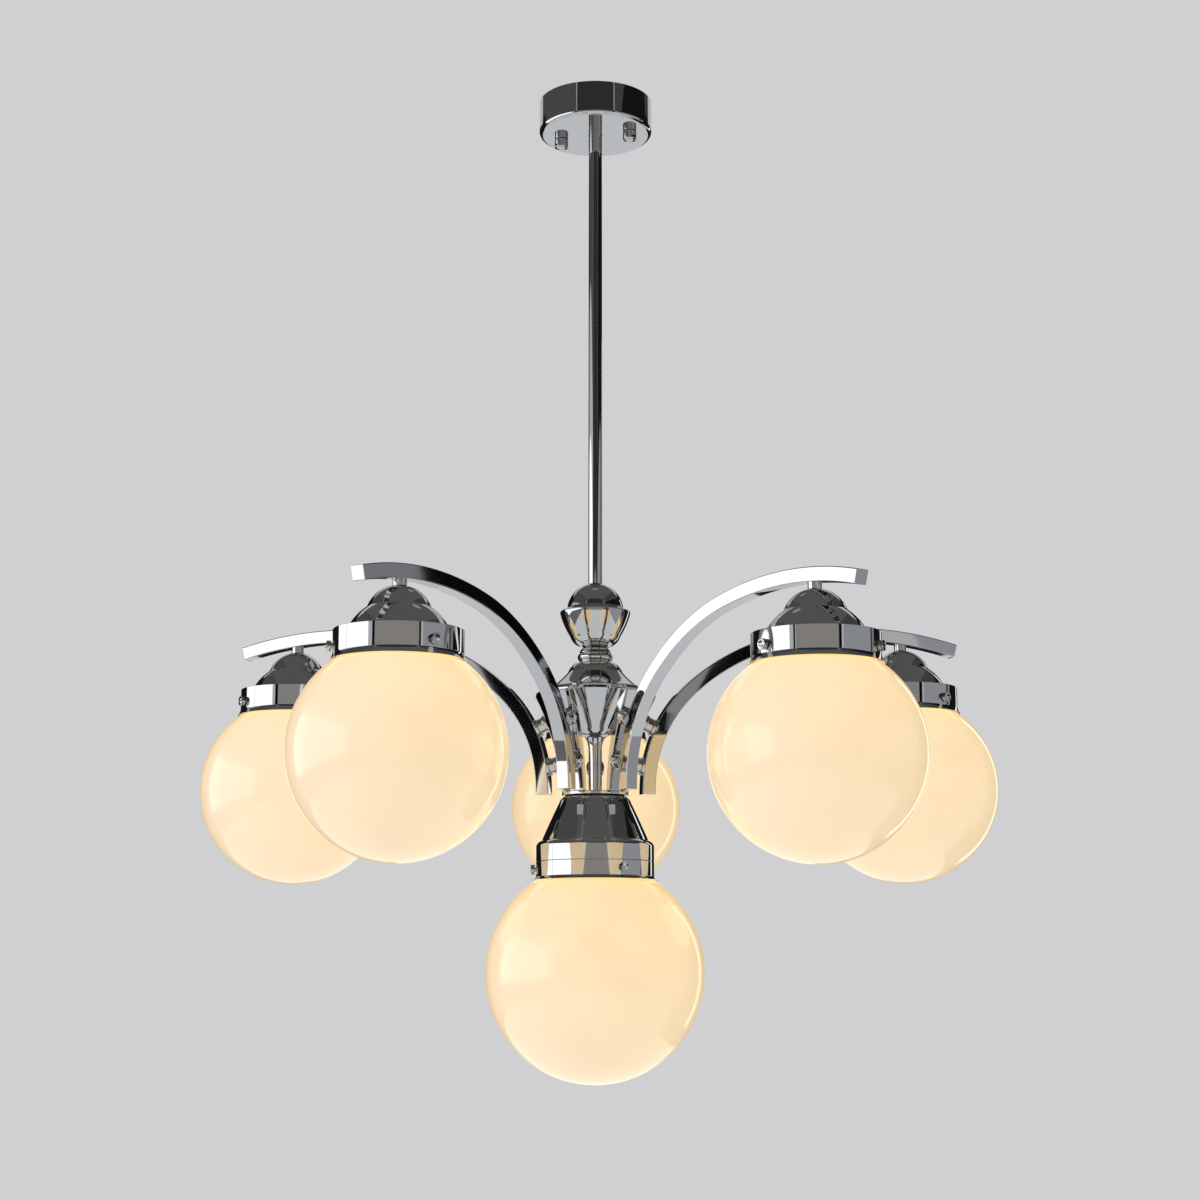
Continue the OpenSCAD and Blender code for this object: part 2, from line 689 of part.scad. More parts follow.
// One turned spacer with a shallow groove and a pin at each end
module arm_spacer(heading) {
  l = spacer_length(heading);
  flange = l / 5;
  difference() {
    intersection() {
      at_spacer(heading) union() {
        translate([0, 0, -cut]) cylinder(d = spacer_d - 2 * spacer_groove, h = l + 2 * cut);
        translate([0, 0, -cut]) cylinder(d = spacer_d, h = flange + cut);
        translate([0, 0, l - flange]) cylinder(d = spacer_d, h = flange + cut);
      }
      translate([stay_centre[0], 0, stay_centre[1]]) rotate([90, 0, 0])
        cylinder(r = stay_r, h = 2 * spacer_d, center = true, $fn = 720);
    }
    translate([knee_centre[0], 0, knee_centre[1]]) rotate([90, 0, 0])
      cylinder(r = knee_bend_r + bar_w / 2, h = 2 * spacer_d, center = true, $fn = 720);
  }
  at_spacer(heading) translate([0, 0, -spacer_pin_l])
    cylinder(d = spacer_pin_d, h = l + 2 * spacer_pin_l);
}

// Ten spacers, two between each stay and its arm
module arm_spacers() {
  color("silver") in_hub() for (turn = arm_turns) rotate(turn)
    for (heading = [lower_spacer_heading, upper_spacer_heading]) arm_spacer(heading);
}

module bar_section() {
  h = bar_w / 2;
  c = bar_chamfer;
  polygon([
    [-h + c, -h], [h - c, -h], [h, -h + c], [h, h - c],
    [h - c, h], [-h + c, h], [-h, h - c], [-h, -h + c]
  ]);
}

// Arm: four bends of square bar, with blind holes for the spacers' pins and the nipple
module arm(i) {
  color("silver") in_hub() rotate(arm_turns[i - 1]) difference() {
    union() for (b = [0:tip]) {
      c = bend_centre(b);
      r = arm_bends[b][0];
      sweep = arm_bends[b][1] + (b < tip ? bend_lap / r : 0);
      translate([c[0], 0, c[1]]) rotate([90, 0, 0]) rotate(bend_start(b)[2] - sweep + 90)
        rotate_extrude(angle = sweep, $fn = 360) translate([r, 0]) bar_section();
    }
    for (heading = [lower_spacer_heading, upper_spacer_heading]) at_spacer(heading)
      translate([0, 0, -spacer_pin_l - fit_gap])
        cylinder(d = spacer_pin_d + 2 * fit_gap, h = spacer_pin_l + cut);
    translate([arm_reach, 0, arm_underside - cut])
      cylinder(d = nipple_d + 2 * fit_gap, h = nipple_depth + cut + fit_gap);
  }
}

// Five nipples, each from its arm through the gallery's top into the lampholder, with a
// collar that the gallery is drawn up against
module arm_nipples() {
  foot = arm_holder_top - holder_thread;
  h = arm_underside + nipple_depth - foot;
  color("silver") in_hub() for (i = [1:5]) at_globe(i) difference() {
    union() {
      translate([0, 0, foot]) cylinder(d = nipple_d, h = h);
      intersection() {
        translate([0, 0, gallery_top]) cylinder(d = nipple_collar_d, h = nipple_show + cut);
        translate([tip_centre[0] - arm_reach, 0, tip_centre[1]]) rotate([90, 0, 0])
          cylinder(r = tip_bend_r - bar_w / 2 - fit_gap, h = 2 * nipple_collar_d, center = true,
                   $fn = 720);
      }
    }
    translate([0, 0, foot - cut]) cylinder(d = tie_bore, h = h + 2 * cut);
  }
}

// Outline points down a ball of radius r and centre level c, between levels z0 and z1
function ball_points(r, c, z0, z1, n = 14) =
  let (a0 = asin((z0 - c) / r), a1 = asin((z1 - c) / r))
  [for (i = [0:n]) let (a = a0 + (a1 - a0) * i / n) [r * cos(a), c + r * sin(a)]];

// Gallery: two domes, a flat shoulder, a ring wall and a flared lip
module gallery(i) {
  t = sheet_wall;
  waist_r = sqrt(pow(upper_dome_r, 2) - pow(upper_dome_foot - upper_dome_c, 2));
  lower_c = upper_dome_foot - sqrt(pow(lower_dome_r, 2) - pow(waist_r, 2));
  inner_waist_r = sqrt(pow(upper_dome_r - t, 2) - pow(upper_dome_foot - upper_dome_c, 2));
  inner_waist_z = lower_c + sqrt(pow(lower_dome_r - t, 2) - pow(inner_waist_r, 2));
  lip_foot = ring_foot - lip_h;
  color("silver") in_hub() at_globe(i) translate([0, 0, gallery_top]) difference() {
    rotate_extrude() polygon(concat(
      [[nipple_d / 2 + fit_gap, 0]],
      ball_points(upper_dome_r, upper_dome_c, 0, upper_dome_foot),
      ball_points(lower_dome_r, lower_c, upper_dome_foot, lower_dome_foot),
      [[ring_r, lower_dome_foot], [ring_r, ring_foot], [ring_r + lip_spread, lip_foot],
       [ring_bore_r + lip_spread, lip_foot], [ring_bore_r, ring_foot],
       [ring_bore_r, lower_dome_foot - t]],
      ball_points(lower_dome_r - t, lower_c, lower_dome_foot - t, inner_waist_z),
      ball_points(upper_dome_r - t, upper_dome_c, upper_dome_foot, -t),
      [[nipple_d / 2 + fit_gap, -t]]
    ));
    for (k = [0:2]) rotate(screws_turns[i - 1] - arm_turns[i - 1] + 120 * k)
      translate([ring_bore_r - cut, 0, ring_foot + screw_rise]) rotate([0, 90, 0])
        cylinder(d = screw_d + 2 * running_gap, h = t + 2 * cut);
  }
}

// Lower bell: a rounded top, a cone, a rounded bead and a skirt, open below
module lower_bell() {
  bore = tie_d / 2 + fit_gap;
  t = sheet_wall;
  color("silver") in_hub() rotate_extrude() polygon(concat(
    [[bore, plate_foot - t], [bore, plate_foot]],
    bow([lower_bell_top_r, plate_foot], [lower_bell_round_r, round_foot], lower_bell_top_bow),
    bow([lower_bell_cone_r, bell_cone_foot], [skirt_r, skirt_top], lower_bell_bead_bow),
    [[skirt_r, skirt_foot], [skirt_r - t, skirt_foot]],
    bow([skirt_r - t, skirt_top - t / 2], [lower_bell_cone_r - t, bell_cone_foot - t / 2],
        -lower_bell_bead_bow),
    bow([lower_bell_round_r - t, round_foot - t / 2], [lower_bell_top_r, plate_foot - t],
        -lower_bell_top_bow * 0.8)
  ));
}

// Centre gallery: a ring under the skirt, with a spigot that pushes into it and a flared lip
module centre_gallery() {
  bore = centre_ring_bore_r;
  color("silver") in_hub() difference() {
    rotate_extrude() polygon([
      [bore, skirt_foot + centre_spigot_h], [centre_spigot_r, skirt_foot + centre_spigot_h],
      [centre_spigot_r, skirt_foot], [skirt_r, skirt_foot], [skirt_r, centre_wall_foot],
      [skirt_r + centre_lip_spread, centre_wall_foot - centre_lip_h],
      [skirt_r + centre_lip_spread - centre_lip_edge, centre_wall_foot - centre_lip_h],
      [bore, centre_wall_foot]
    ]);
    for (k = [0:2]) rotate(centre_screws_turn + 120 * k)
      translate([bore - cut, 0, centre_screw_z]) rotate([0, 90, 0])
        cylinder(d = screw_d + 2 * running_gap, h = skirt_r - bore + 2 * cut);
  }
}

// Lampholder: a neck, a rounded cap and a socket; its zero is its top
module lampholder() {
  r = holder_d / 2;
  socket_r = bulb_cap_d / 2 + running_gap;
  difference() {
    rotate_extrude() polygon(concat(
      [[0, -holder_h], [r, -holder_h], [r, -holder_cap_h]],
      bow([r, -holder_cap_h], [holder_neck_d / 2, -holder_cap_h / 2], -holder_cap_bow),
      [[holder_neck_d / 2, 0], [0, 0]]
    ));
    translate([0, 0, -holder_thread - fit_gap])
      cylinder(d = nipple_d + 2 * fit_gap, h = holder_thread + cut + fit_gap);
    translate([0, 0, -holder_h - cut]) cylinder(r = socket_r, h = bulb_cap_h + running_gap + cut);
  }
}

// Six lampholders, five in the arm galleries and one in the lower bell
module lampholders() {
  color("ivory") in_hub() {
    for (i = [1:5]) at_globe(i) translate([0, 0, arm_holder_top]) lampholder();
    translate([0, 0, centre_holder_top]) lampholder();
  }
}

// Bulb: a ball that tapers to its screw cap; its zero is the lampholder's top
module bulb() {
  cap_r = bulb_cap_d / 2;
  ball_z = -holder_h - bulb_drop;
  cap_foot = -holder_h - bulb_cap_show;
  color("white") union() {
    translate([0, 0, cap_foot]) cylinder(r = cap_r, h = bulb_cap_h + bulb_cap_show);
    rotate_extrude() union() {
      intersection() {
        translate([0, ball_z]) circle(bulb_d / 2);
        translate([0, ball_z - bulb_d]) square([bulb_d, 2 * bulb_d]);
      }
      polygon(concat(
        [[0, ball_z], [bulb_d / 2, ball_z]],
        bow([bulb_d / 2, ball_z], [cap_r, cap_foot], -bulb_neck_bow),
        [[0, cap_foot]]
      ));
    }
  }
}

module arm_bulb(i) {
  in_hub() at_globe(i) translate([0, 0, arm_holder_top]) bulb();
}

module centre_bulb() {
  in_hub() translate([0, 0, centre_holder_top]) bulb();
}

// Globe: a blown ball with a straight neck; its zero is the foot of the neck
module globe(d, neck_h) {
  r = d / 2;
  ball_z = -sqrt(r * r - neck_r_out * neck_r_out);
  inner_r = neck_r_out - glass_wall;
  color("navajowhite") rotate_extrude($fn = 144) difference() {
    union() {
      intersection() {
        translate([0, ball_z]) circle(r);
        translate([0, ball_z - r]) square([r, r - ball_z]);
      }
      square([neck_r_out, neck_h]);
    }
    translate([0, ball_z]) circle(r - glass_wall);
    translate([0, ball_z]) square([inner_r, neck_h - ball_z + cut]);
    translate([-r, ball_z - r]) square([r, 3 * r]);
  }
}

module arm_globe(i) {
  in_hub() at_globe(i) translate([0, 0, gallery_top + ring_foot - arm_neck_drop])
    globe(arm_globe_d, arm_neck_h);
}

module centre_globe() {
  in_hub() translate([0, 0, centre_wall_foot - centre_neck_drop])
    globe(centre_globe_d, centre_neck_h);
}

// Thumbscrew along +X: a shank whose tip faces the neck, and a domed, slotted head
module thumbscrew(wall_r) {
  tip_r = neck_r_out + running_gap;
  head_x = wall_r + screw_head_gap;
  head_end = head_x + screw_head_h;
  dome_h = screw_head_h / 4;
  color("silver") difference() {
    rotate([0, 90, 0]) rotate_extrude() polygon(concat(
      [[0, tip_r], [screw_d / 2, tip_r], [screw_d / 2, head_x], [screw_head_d / 2, head_x]],
      bow([screw_head_d / 2, head_end - dome_h], [0, head_end], -dome_h / 3, 4)
    ));
    translate([head_end - slot_depth, -screw_head_d, -slot_w / 2])
      cube([screw_head_h, 2 * screw_head_d, slot_w]);
  }
}

// Thumbscrew k of arm gallery i
module arm_screw(i, k) {
  in_hub() at_globe(i) rotate(screws_turns[i - 1] - arm_turns[i - 1] + 120 * k)
    translate([0, 0, arm_screw_z]) thumbscrew(ring_r);
}

module centre_screw(k) {
  in_hub() rotate(centre_screws_turn + 120 * k) translate([0, 0, centre_screw_z])
    thumbscrew(skirt_r);
}

ceiling_bracket();
terminal_block();
canopy();
canopy_nut(1);  // canopy_nut_1
canopy_nut(-1);  // canopy_nut_2
down_rod();
rod_nut();
tie_rod();
ball_cap();
spindle_cup();
collar();
bell_cover();
column();
stay_plate();
stays();
arm_spacers();
lower_bell();
centre_gallery();
arm(1);  // arm_1
arm(2);  // arm_2
arm(3);  // arm_3
arm(4);  // arm_4
arm(5);  // arm_5
arm_nipples();
gallery(1);  // gallery_1
gallery(2);  // gallery_2
gallery(3);  // gallery_3
gallery(4);  // gallery_4
gallery(5);  // gallery_5
lampholders();
arm_bulb(1);  // bulb_1
arm_bulb(2);  // bulb_2
arm_bulb(3);  // bulb_3
arm_bulb(4);  // bulb_4
arm_bulb(5);  // bulb_5
centre_bulb();
arm_globe(1);  // globe_1
arm_globe(2);  // globe_2
arm_globe(3);  // globe_3
arm_globe(4);  // globe_4
arm_globe(5);  // globe_5
centre_globe();
arm_screw(1, 0);  // screw_1a
arm_screw(1, 1);  // screw_1b
arm_screw(1, 2);  // screw_1c
arm_screw(2, 0);  // screw_2a
arm_screw(2, 1);  // screw_2b
arm_screw(2, 2);  // screw_2c
arm_screw(3, 0);  // screw_3a
arm_screw(3, 1);  // screw_3b
arm_screw(3, 2);  // screw_3c
arm_screw(4, 0);  // screw_4a
arm_screw(4, 1);  // screw_4b
arm_screw(4, 2);  // screw_4c
arm_screw(5, 0);  // screw_5a
arm_screw(5, 1);  // screw_5b
arm_screw(5, 2);  // screw_5c
centre_screw(0);  // centre_screw_a
centre_screw(1);  // centre_screw_b
centre_screw(2);  // centre_screw_c
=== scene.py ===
from math import asin, atan, cos, degrees, hypot, pi, radians, sin, sqrt

import bpy
from mathutils import Matrix


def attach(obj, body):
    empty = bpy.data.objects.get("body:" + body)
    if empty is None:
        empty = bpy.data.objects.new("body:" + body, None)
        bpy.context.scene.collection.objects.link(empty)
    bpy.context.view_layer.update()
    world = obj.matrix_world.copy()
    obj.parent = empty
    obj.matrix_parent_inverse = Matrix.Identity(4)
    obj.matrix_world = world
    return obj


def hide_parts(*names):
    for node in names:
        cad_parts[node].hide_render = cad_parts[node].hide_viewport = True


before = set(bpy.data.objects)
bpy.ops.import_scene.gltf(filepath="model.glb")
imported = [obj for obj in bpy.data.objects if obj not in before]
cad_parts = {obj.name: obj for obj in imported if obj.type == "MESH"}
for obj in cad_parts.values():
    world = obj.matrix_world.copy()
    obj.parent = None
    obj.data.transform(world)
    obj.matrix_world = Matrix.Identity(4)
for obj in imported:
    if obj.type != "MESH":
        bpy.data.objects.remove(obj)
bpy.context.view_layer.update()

MM = 0.001

# Levels in millimetres above the arms' lower ends, which hang this far under the ceiling
FOOT_DROP = 678.5
SHEET = 1.2
PLATE_TOP, PLATE_FOOT = 0.5, -2.5
STEM_TOP, CONE_TOP, DISH_TOP = 43.5, 94.3, 96.3
BELL_TOP, COLLAR_TOP = 123.0, 136.5
CUP_TOP, BALL_FOOT, CAP_TOP, ROD_FOOT = 169.8, 174.1, 198.0, 188.0
ROUND_FOOT, BELL_CONE_FOOT, SKIRT_TOP, SKIRT_FOOT = -9.0, -44.0, -49.0, -63.4
CENTRE_WALL_FOOT = -77.0
GALLERY_TOP, ARM_UNDERSIDE, HOLDER_TOP = 145.672, 151.572, 143.92
UPPER_DOME_FOOT, LOWER_DOME_FOOT, RING_FOOT = -17.9, -37.1, -56.5
ARM_REACH = 308.148
TIE_BORE_R = 4.1
HOLDER_DROP = 4  # from the lower bell's top sheet to the centre lampholder

# Directions of arms 1 to 5 and of the first thumbscrew on each gallery
ARM_TURNS = {1: 90, 2: 15, 3: -54, 4: -121, 5: 162}
SCREW_TURNS = {1: -90, 2: -49, 3: -25, 4: -53, 5: -149}
CENTRE_SCREW_TURN = -61
STRAP_TURN = -17

# Arm: radius and sweep of each bend, from the foot up
BENDS = [(200, 4), (130, 44), (215, 30), (367, 27)]
ARM_FOOT = 50.5
BAR_W = 12.7
KNEE = 1
SPACER_HEADINGS = (81, 65)
STAY_FOOT, STAY_R, STAY_LEAN, STAY_SWEEP = 30.8, 239.0, 85.0, 22.5
STAY_FOOT_T, STAY_TOP_T = 5.0, 9.0
STAY_CENTRE = (STAY_FOOT + STAY_R * sin(radians(STAY_LEAN)),
               PLATE_TOP - STAY_R * cos(radians(STAY_LEAN)))

NECK_R = 50.0
RING_BORE_R, RING_R = 52.3, 53.5
SKIRT_R = 54.4
SCREW_RISE = 6.0
SCREW_GAP = 0.3  # from a thumbscrew's tip to the globe's neck
SCREW_LEVEL = GALLERY_TOP + RING_FOOT + SCREW_RISE
CENTRE_SCREW_LEVEL = CENTRE_WALL_FOOT + SCREW_RISE + 1
HOLE_R = 2.3  # holes of thumbscrews and studs

# Canopy, and how far from the rod its two studs stand
CANOPY_R, CANOPY_H = 55, 33
STUD_REACH = 35

ROUND = 128  # steps of a turned piece


# ---------------------------------------------------------------- camera and light

def lens_camera():
    """The photograph's camera: a long lens, a little under the globes and tilted up."""
    tilt_up = 0.18
    bpy.ops.object.camera_add(location=(0.0045, -1.944, -0.850),
                              rotation=(pi / 2 + tilt_up, 0, 0))
    camera = bpy.context.object
    camera.data.sensor_width = 36
    camera.data.lens = 62.9
    camera.data.clip_end = 60
    bpy.context.scene.camera = camera


def linear(colour, alpha=1.0):
    """An sRGB hex colour as linear red, green and blue."""
    parts = [int(colour[i:i + 2], 16) / 255 for i in (1, 3, 5)]
    return [c / 12.92 if c <= 0.04045 else ((c + 0.055) / 1.055) ** 2.4 for c in parts] + [alpha]


def add(tree, kind, place, settings=None, **links):
    """Adds a node, sets what settings names, and links its inputs to other nodes' outputs."""
    node = tree.nodes.new(kind)
    node.location = place
    for name, value in (settings or {}).items():
        if name in node.inputs:
            node.inputs[name].default_value = value
        else:
            setattr(node, name, value)
    for name, output in links.items():
        tree.links.new(output, node.inputs[name.replace("_", " ")])
    return node


def bare_tree(owner):
    owner.use_nodes = True
    owner.node_tree.nodes.clear()
    return owner.node_tree


BACKDROP = "#D0D0D2"
FLOOR_LEVEL = -1.9
FLOOR_GLOW = 0.6  # how much of the floor's paleness the camera sees without any light
LAMP_MIDDLE = (0, 0, -0.6)


def studio_world():
    """Plain soft light all round; the camera, metal and glass see the pale backdrop."""
    world = bpy.data.worlds.new("studio")
    bpy.context.scene.world = world
    tree = bare_tree(world)
    rays = add(tree, "ShaderNodeLightPath", (-800, 0))
    seen = add(tree, "ShaderNodeMath", (-600, 0), {"operation": "MAXIMUM"})
    tree.links.new(rays.outputs["Is Camera Ray"], seen.inputs[0])
    tree.links.new(rays.outputs["Is Glossy Ray"], seen.inputs[1])
    clear = add(tree, "ShaderNodeMath", (-400, 0), {"operation": "MAXIMUM"})
    tree.links.new(seen.outputs[0], clear.inputs[0])
    tree.links.new(rays.outputs["Is Transmission Ray"], clear.inputs[1])
    light = add(tree, "ShaderNodeBackground", (-200, 150),
                {"Color": linear("#F2F4F8"), "Strength": 0.42})
    backdrop = add(tree, "ShaderNodeBackground", (-200, -50),
                   {"Color": linear(BACKDROP), "Strength": 1.0})
    mix = add(tree, "ShaderNodeMixShader", (0, 0), {}, Fac=clear.outputs[0])
    tree.links.new(light.outputs[0], mix.inputs[1])
    tree.links.new(backdrop.outputs[0], mix.inputs[2])
    out = add(tree, "ShaderNodeOutputWorld", (200, 0))
    tree.links.new(mix.outputs[0], out.inputs["Surface"])


def soft_light(place, size, watts, colour):
    """A square studio light on the lamp; metal reflects the cards and not the light."""
    bpy.ops.object.light_add(type="AREA", location=place)
    lamp = bpy.context.object
    lamp.data.shape = "SQUARE"
    lamp.data.size = size
    lamp.data.energy = watts
    lamp.data.color = linear(colour)[:3]
    way = Matrix.Translation(LAMP_MIDDLE).translation - Matrix.Translation(place).translation
    lamp.rotation_euler = way.to_track_quat("-Z", "Y").to_euler()
    lamp.visible_glossy = False


def card(name, place, size, turn, colour, strength=1.0):
    """A studio card round the lamp, which only its reflections show."""
    bpy.ops.mesh.primitive_plane_add(size=1, location=place, rotation=turn)
    sheet = bpy.context.object
    sheet.name = name
    sheet.scale = (size[0], size[1], 1)
    bpy.ops.object.transform_apply(location=True, rotation=True, scale=True)
    finish = bpy.data.materials.new(name)
    tree = bare_tree(finish)
    glow = add(tree, "ShaderNodeEmission", (0, 0), {"Color": linear(colour), "Strength": strength})
    out = add(tree, "ShaderNodeOutputMaterial", (200, 0))
    tree.links.new(glow.outputs[0], out.inputs["Surface"])
    sheet.data.materials.append(finish)
    sheet.visible_camera = False
    sheet.visible_diffuse = False
    sheet.visible_shadow = False
    sheet.visible_volume_scatter = False


def studio_floor():
    """A pale matt floor well under the lamp; it keeps the lamp's shadow, and metal sees it pale."""
    bpy.ops.mesh.primitive_circle_add(vertices=96, radius=5, fill_type="NGON",
                                      location=(0, 0, FLOOR_LEVEL))
    floor = bpy.context.object
    floor.name = "floor"
    bpy.ops.object.transform_apply(location=True)
    finish = bpy.data.materials.new("pale matt floor")
    tree = bare_tree(finish)
    shader = add(tree, "ShaderNodeBsdfPrincipled", (0, 0),
                 {"Base Color": linear("#D9DBDF"), "Roughness": 0.9, "Specular IOR Level": 0.1})
    seen = add(tree, "ShaderNodeEmission", (0, -400), {"Color": linear("#E4E6E8")})
    rays = add(tree, "ShaderNodeLightPath", (-400, 400))
    pale = add(tree, "ShaderNodeMath", (-200, 500), {"operation": "MULTIPLY"})
    tree.links.new(rays.outputs["Is Camera Ray"], pale.inputs[0])
    pale.inputs[1].default_value = FLOOR_GLOW
    both = add(tree, "ShaderNodeMath", (0, 400), {"operation": "MAXIMUM"})
    tree.links.new(pale.outputs[0], both.inputs[0])
    tree.links.new(rays.outputs["Is Glossy Ray"], both.inputs[1])
    mix = add(tree, "ShaderNodeMixShader", (200, 0), {}, Fac=both.outputs[0])
    tree.links.new(shader.outputs[0], mix.inputs[1])
    tree.links.new(seen.outputs[0], mix.inputs[2])
    out = add(tree, "ShaderNodeOutputMaterial", (400, 0))
    tree.links.new(mix.outputs[0], out.inputs["Surface"])
    floor.data.materials.append(finish)


def studio():
    """Three soft lights, and the cards that stand for a room in the metal's reflections."""
    studio_world()
    studio_floor()
    soft_light((-2.3, -1.4, 0.1), 1.8, 34, "#E4E4FF")
    soft_light((2.4, -1.6, -0.1), 1.6, 9, "#F4F6FF")
    soft_light((0.3, -0.6, 1.6), 1.6, 12, "#FFFFFF")
    upright = pi / 2
    side, front, flat = (upright, 0, upright), (upright, 0, 0), (0, 0, 0)
    # The left wall is two white panels with a thin seam
    card("left_panel_front", (-2.6, -1.22, -0.4), (2.4, 1.5), side, "#FFFFFF", 1.8)
    card("left_panel_back", (-2.6, 0.62, -0.4), (1.2, 1.5), side, "#FFFFFF", 1.8)
    # Dark flags behind the lamp on both sides give the metal its dark edges
    for mark, way in (("left", -1), ("right", 1)):
        card(mark + "_flag", (way * 1.59, 2.6, -0.5), (3.33, 3.4), (upright, 0, -way * 0.896),
             "#1C1C1C")
    # A grey strip runs under the white panels; the front is mid grey between two dark posts
    card("left_low", (-2.65, -1.0, -1.53), (4.4, 0.74), side, "#77797D")
    card("front_wall", (0, -3.4, -0.85), (5.0, 2.1), front, "#A09C98")
    card("front_left_post", (-2.23, -2.79, -0.7), (1.06, 2.6), (upright, 0, 0.63), "#0C0C0C")
    card("front_right_post", (2.18, -2.84, -0.7), (1.06, 2.6), (upright, 0, -0.63), "#0C0C0C")
    # The right wall is grey in front and black behind, with a seam and a paler strip between
    card("right_wall", (2.7, -1.25, -0.75), (3.3, 2.3), side, "#A8AAB0")
    card("right_seam", (2.7, 0.5, -0.75), (0.2, 2.3), side, "#3A3B3D")
    card("right_strip", (2.7, 0.78, -0.75), (0.36, 2.3), side, "#8C8E92")
    card("right_black", (2.7, 1.5, -0.75), (1.08, 2.3), side, "#0C0C0C")
    card("right_gleam", (1.3, 1.6, -0.6), (0.24, 2.0), (upright, 0, -0.9), "#FFFFFF", 1.4)
    card("right_floor", (2.1, 1.5, -1.88), (2.0, 2.4), flat, "#141414")
    # Overhead all is dark grey, and darkest at the right
    card("front_dark", (0, -3.5, 1.55), (5.4, 2.7), front, "#383935")
    card("left_dark", (-2.75, -0.2, 1.95), (6.4, 2.4), side, "#555654")
    card("right_dark", (2.75, -0.2, 0.9), (6.4, 1.0), side, "#1A1A19")
    card("right_dark_high", (2.75, -0.2, 2.3), (6.4, 1.8), side, "#4C4D4A")
    card("ceiling_dark", (0, 0, 3.0), (6, 7.4), flat, "#646562")


lens_camera()
studio()


# ---------------------------------------------------------------- modelling

def only(piece):
    """Deselects all but this piece and makes it the active one."""
    bpy.ops.object.select_all(action="DESELECT")
    piece.select_set(True)
    bpy.context.view_layer.objects.active = piece


def arc(centre, radius, start, end, steps):
    """Points on a circle from one angle to another, in degrees."""
    return [(centre[0] + radius * cos(radians(start + (end - start) * i / steps)),
             centre[1] + radius * sin(radians(start + (end - start) * i / steps)))
            for i in range(steps + 1)]


def bow(p, q, rise, steps=14):
    """Points on the arc from p to q that bows out by rise to the left of the way."""
    chord = hypot(q[0] - p[0], q[1] - p[1])
    radius = (chord * chord / 4 + rise * rise) / (2 * rise)
    back = (rise - radius) / chord
    centre = ((p[0] + q[0]) / 2 + (p[1] - q[1]) * back, (p[1] + q[1]) / 2 + (q[0] - p[0]) * back)
    sweep = -4 * atan(2 * rise / chord)
    out = (p[0] - centre[0], p[1] - centre[1])
    return [(centre[0] + out[0] * cos(sweep * i / steps) - out[1] * sin(sweep * i / steps),
             centre[1] + out[0] * sin(sweep * i / steps) + out[1] * cos(sweep * i / steps))
            for i in range(steps + 1)]


def ball(radius, centre, top, foot, steps=28):
    """Points down a ball's side between two levels; its centre lies on the axis."""
    a0 = degrees(asin(max(-1, min(1, (top - centre) / radius))))
    a1 = degrees(asin(max(-1, min(1, (foot - centre) / radius))))
    return arc((0, centre), radius, a0, a1, steps)


def thinned(points):
    """The points without those that repeat the one before."""
    kept = []
    for p in points:
        if not kept or hypot(p[0] - kept[-1][0], p[1] - kept[-1][1]) > 1e-3:
            kept.append(p)
    if hypot(kept[0][0] - kept[-1][0], kept[0][1] - kept[-1][1]) < 1e-3:
        kept.pop()
    return kept


def ring_of_corners(name, points, drop=FOOT_DROP):
    """A closed outline in the XZ plane with a corner at each point."""
    points = thinned(points)
    bpy.ops.object.select_all(action="DESELECT")
    bpy.ops.mesh.primitive_circle_add(vertices=len(points), radius=MM)
    piece = bpy.context.object
    piece.name = name
    for corner, (x, z) in zip(piece.data.vertices, points):
        corner.co = (x * MM, 0, (z - drop) * MM)
    return piece


def turned(name, points, steps=ROUND, drop=FOOT_DROP):
    """A turned piece: half of its section is drawn and spun round the upright axis."""
    piece = ring_of_corners(name, points, drop)
    bpy.ops.object.mode_set(mode="EDIT")
    bpy.ops.mesh.select_all(action="SELECT")
    bpy.ops.mesh.spin(steps=steps, angle=2 * pi, center=(0, 0, 0), axis=(0, 0, 1))
    bpy.ops.mesh.select_all(action="SELECT")
    bpy.ops.mesh.remove_doubles(threshold=2e-6)
    bpy.ops.mesh.delete_loose(use_verts=True, use_edges=True, use_faces=False)
    bpy.ops.mesh.select_all(action="SELECT")
    bpy.ops.mesh.normals_make_consistent(inside=False)
    bpy.ops.object.mode_set(mode="OBJECT")
    return piece


def softened(piece, width, segments=3, angle=28):
    """Rounds every edge sharper than the angle."""
    only(piece)
    bpy.ops.object.modifier_add(type="BEVEL")
    edge = piece.modifiers[-1]
    edge.limit_method = "ANGLE"
    edge.angle_limit = radians(angle)
    edge.width = width * MM
    edge.segments = segments
    bpy.ops.object.modifier_apply(modifier=edge.name)
    return piece


def smoothed(piece, angle):
    """Smooth shading with a crease at every edge sharper than the angle."""
    only(piece)
    bpy.ops.object.shade_smooth_by_angle(angle=radians(angle))
    return piece


def polished(piece):
    """Smooth shading that leaves flat faces flat."""
    smoothed(piece, 42)
    bpy.ops.object.modifier_add(type="WEIGHTED_NORMAL")
    weights = piece.modifiers[-1]
    weights.keep_sharp = True
    bpy.ops.object.modifier_apply(modifier=weights.name)
    return piece


def copied(piece, name, move):
    """A copy with its own mesh, moved by a matrix."""
    only(piece)
    bpy.ops.object.duplicate(linked=False)
    twin = bpy.context.object
    twin.name = name
    twin.matrix_world = move
    bpy.ops.object.transform_apply(location=True, rotation=True, scale=True)
    return twin


def removed(piece):
    only(piece)
    bpy.ops.object.delete()


def shift(x, y, z):
    return Matrix.Translation((x * MM, y * MM, z * MM))


def spun(angle, axis="Z"):
    return Matrix.Rotation(radians(angle), 4, axis)


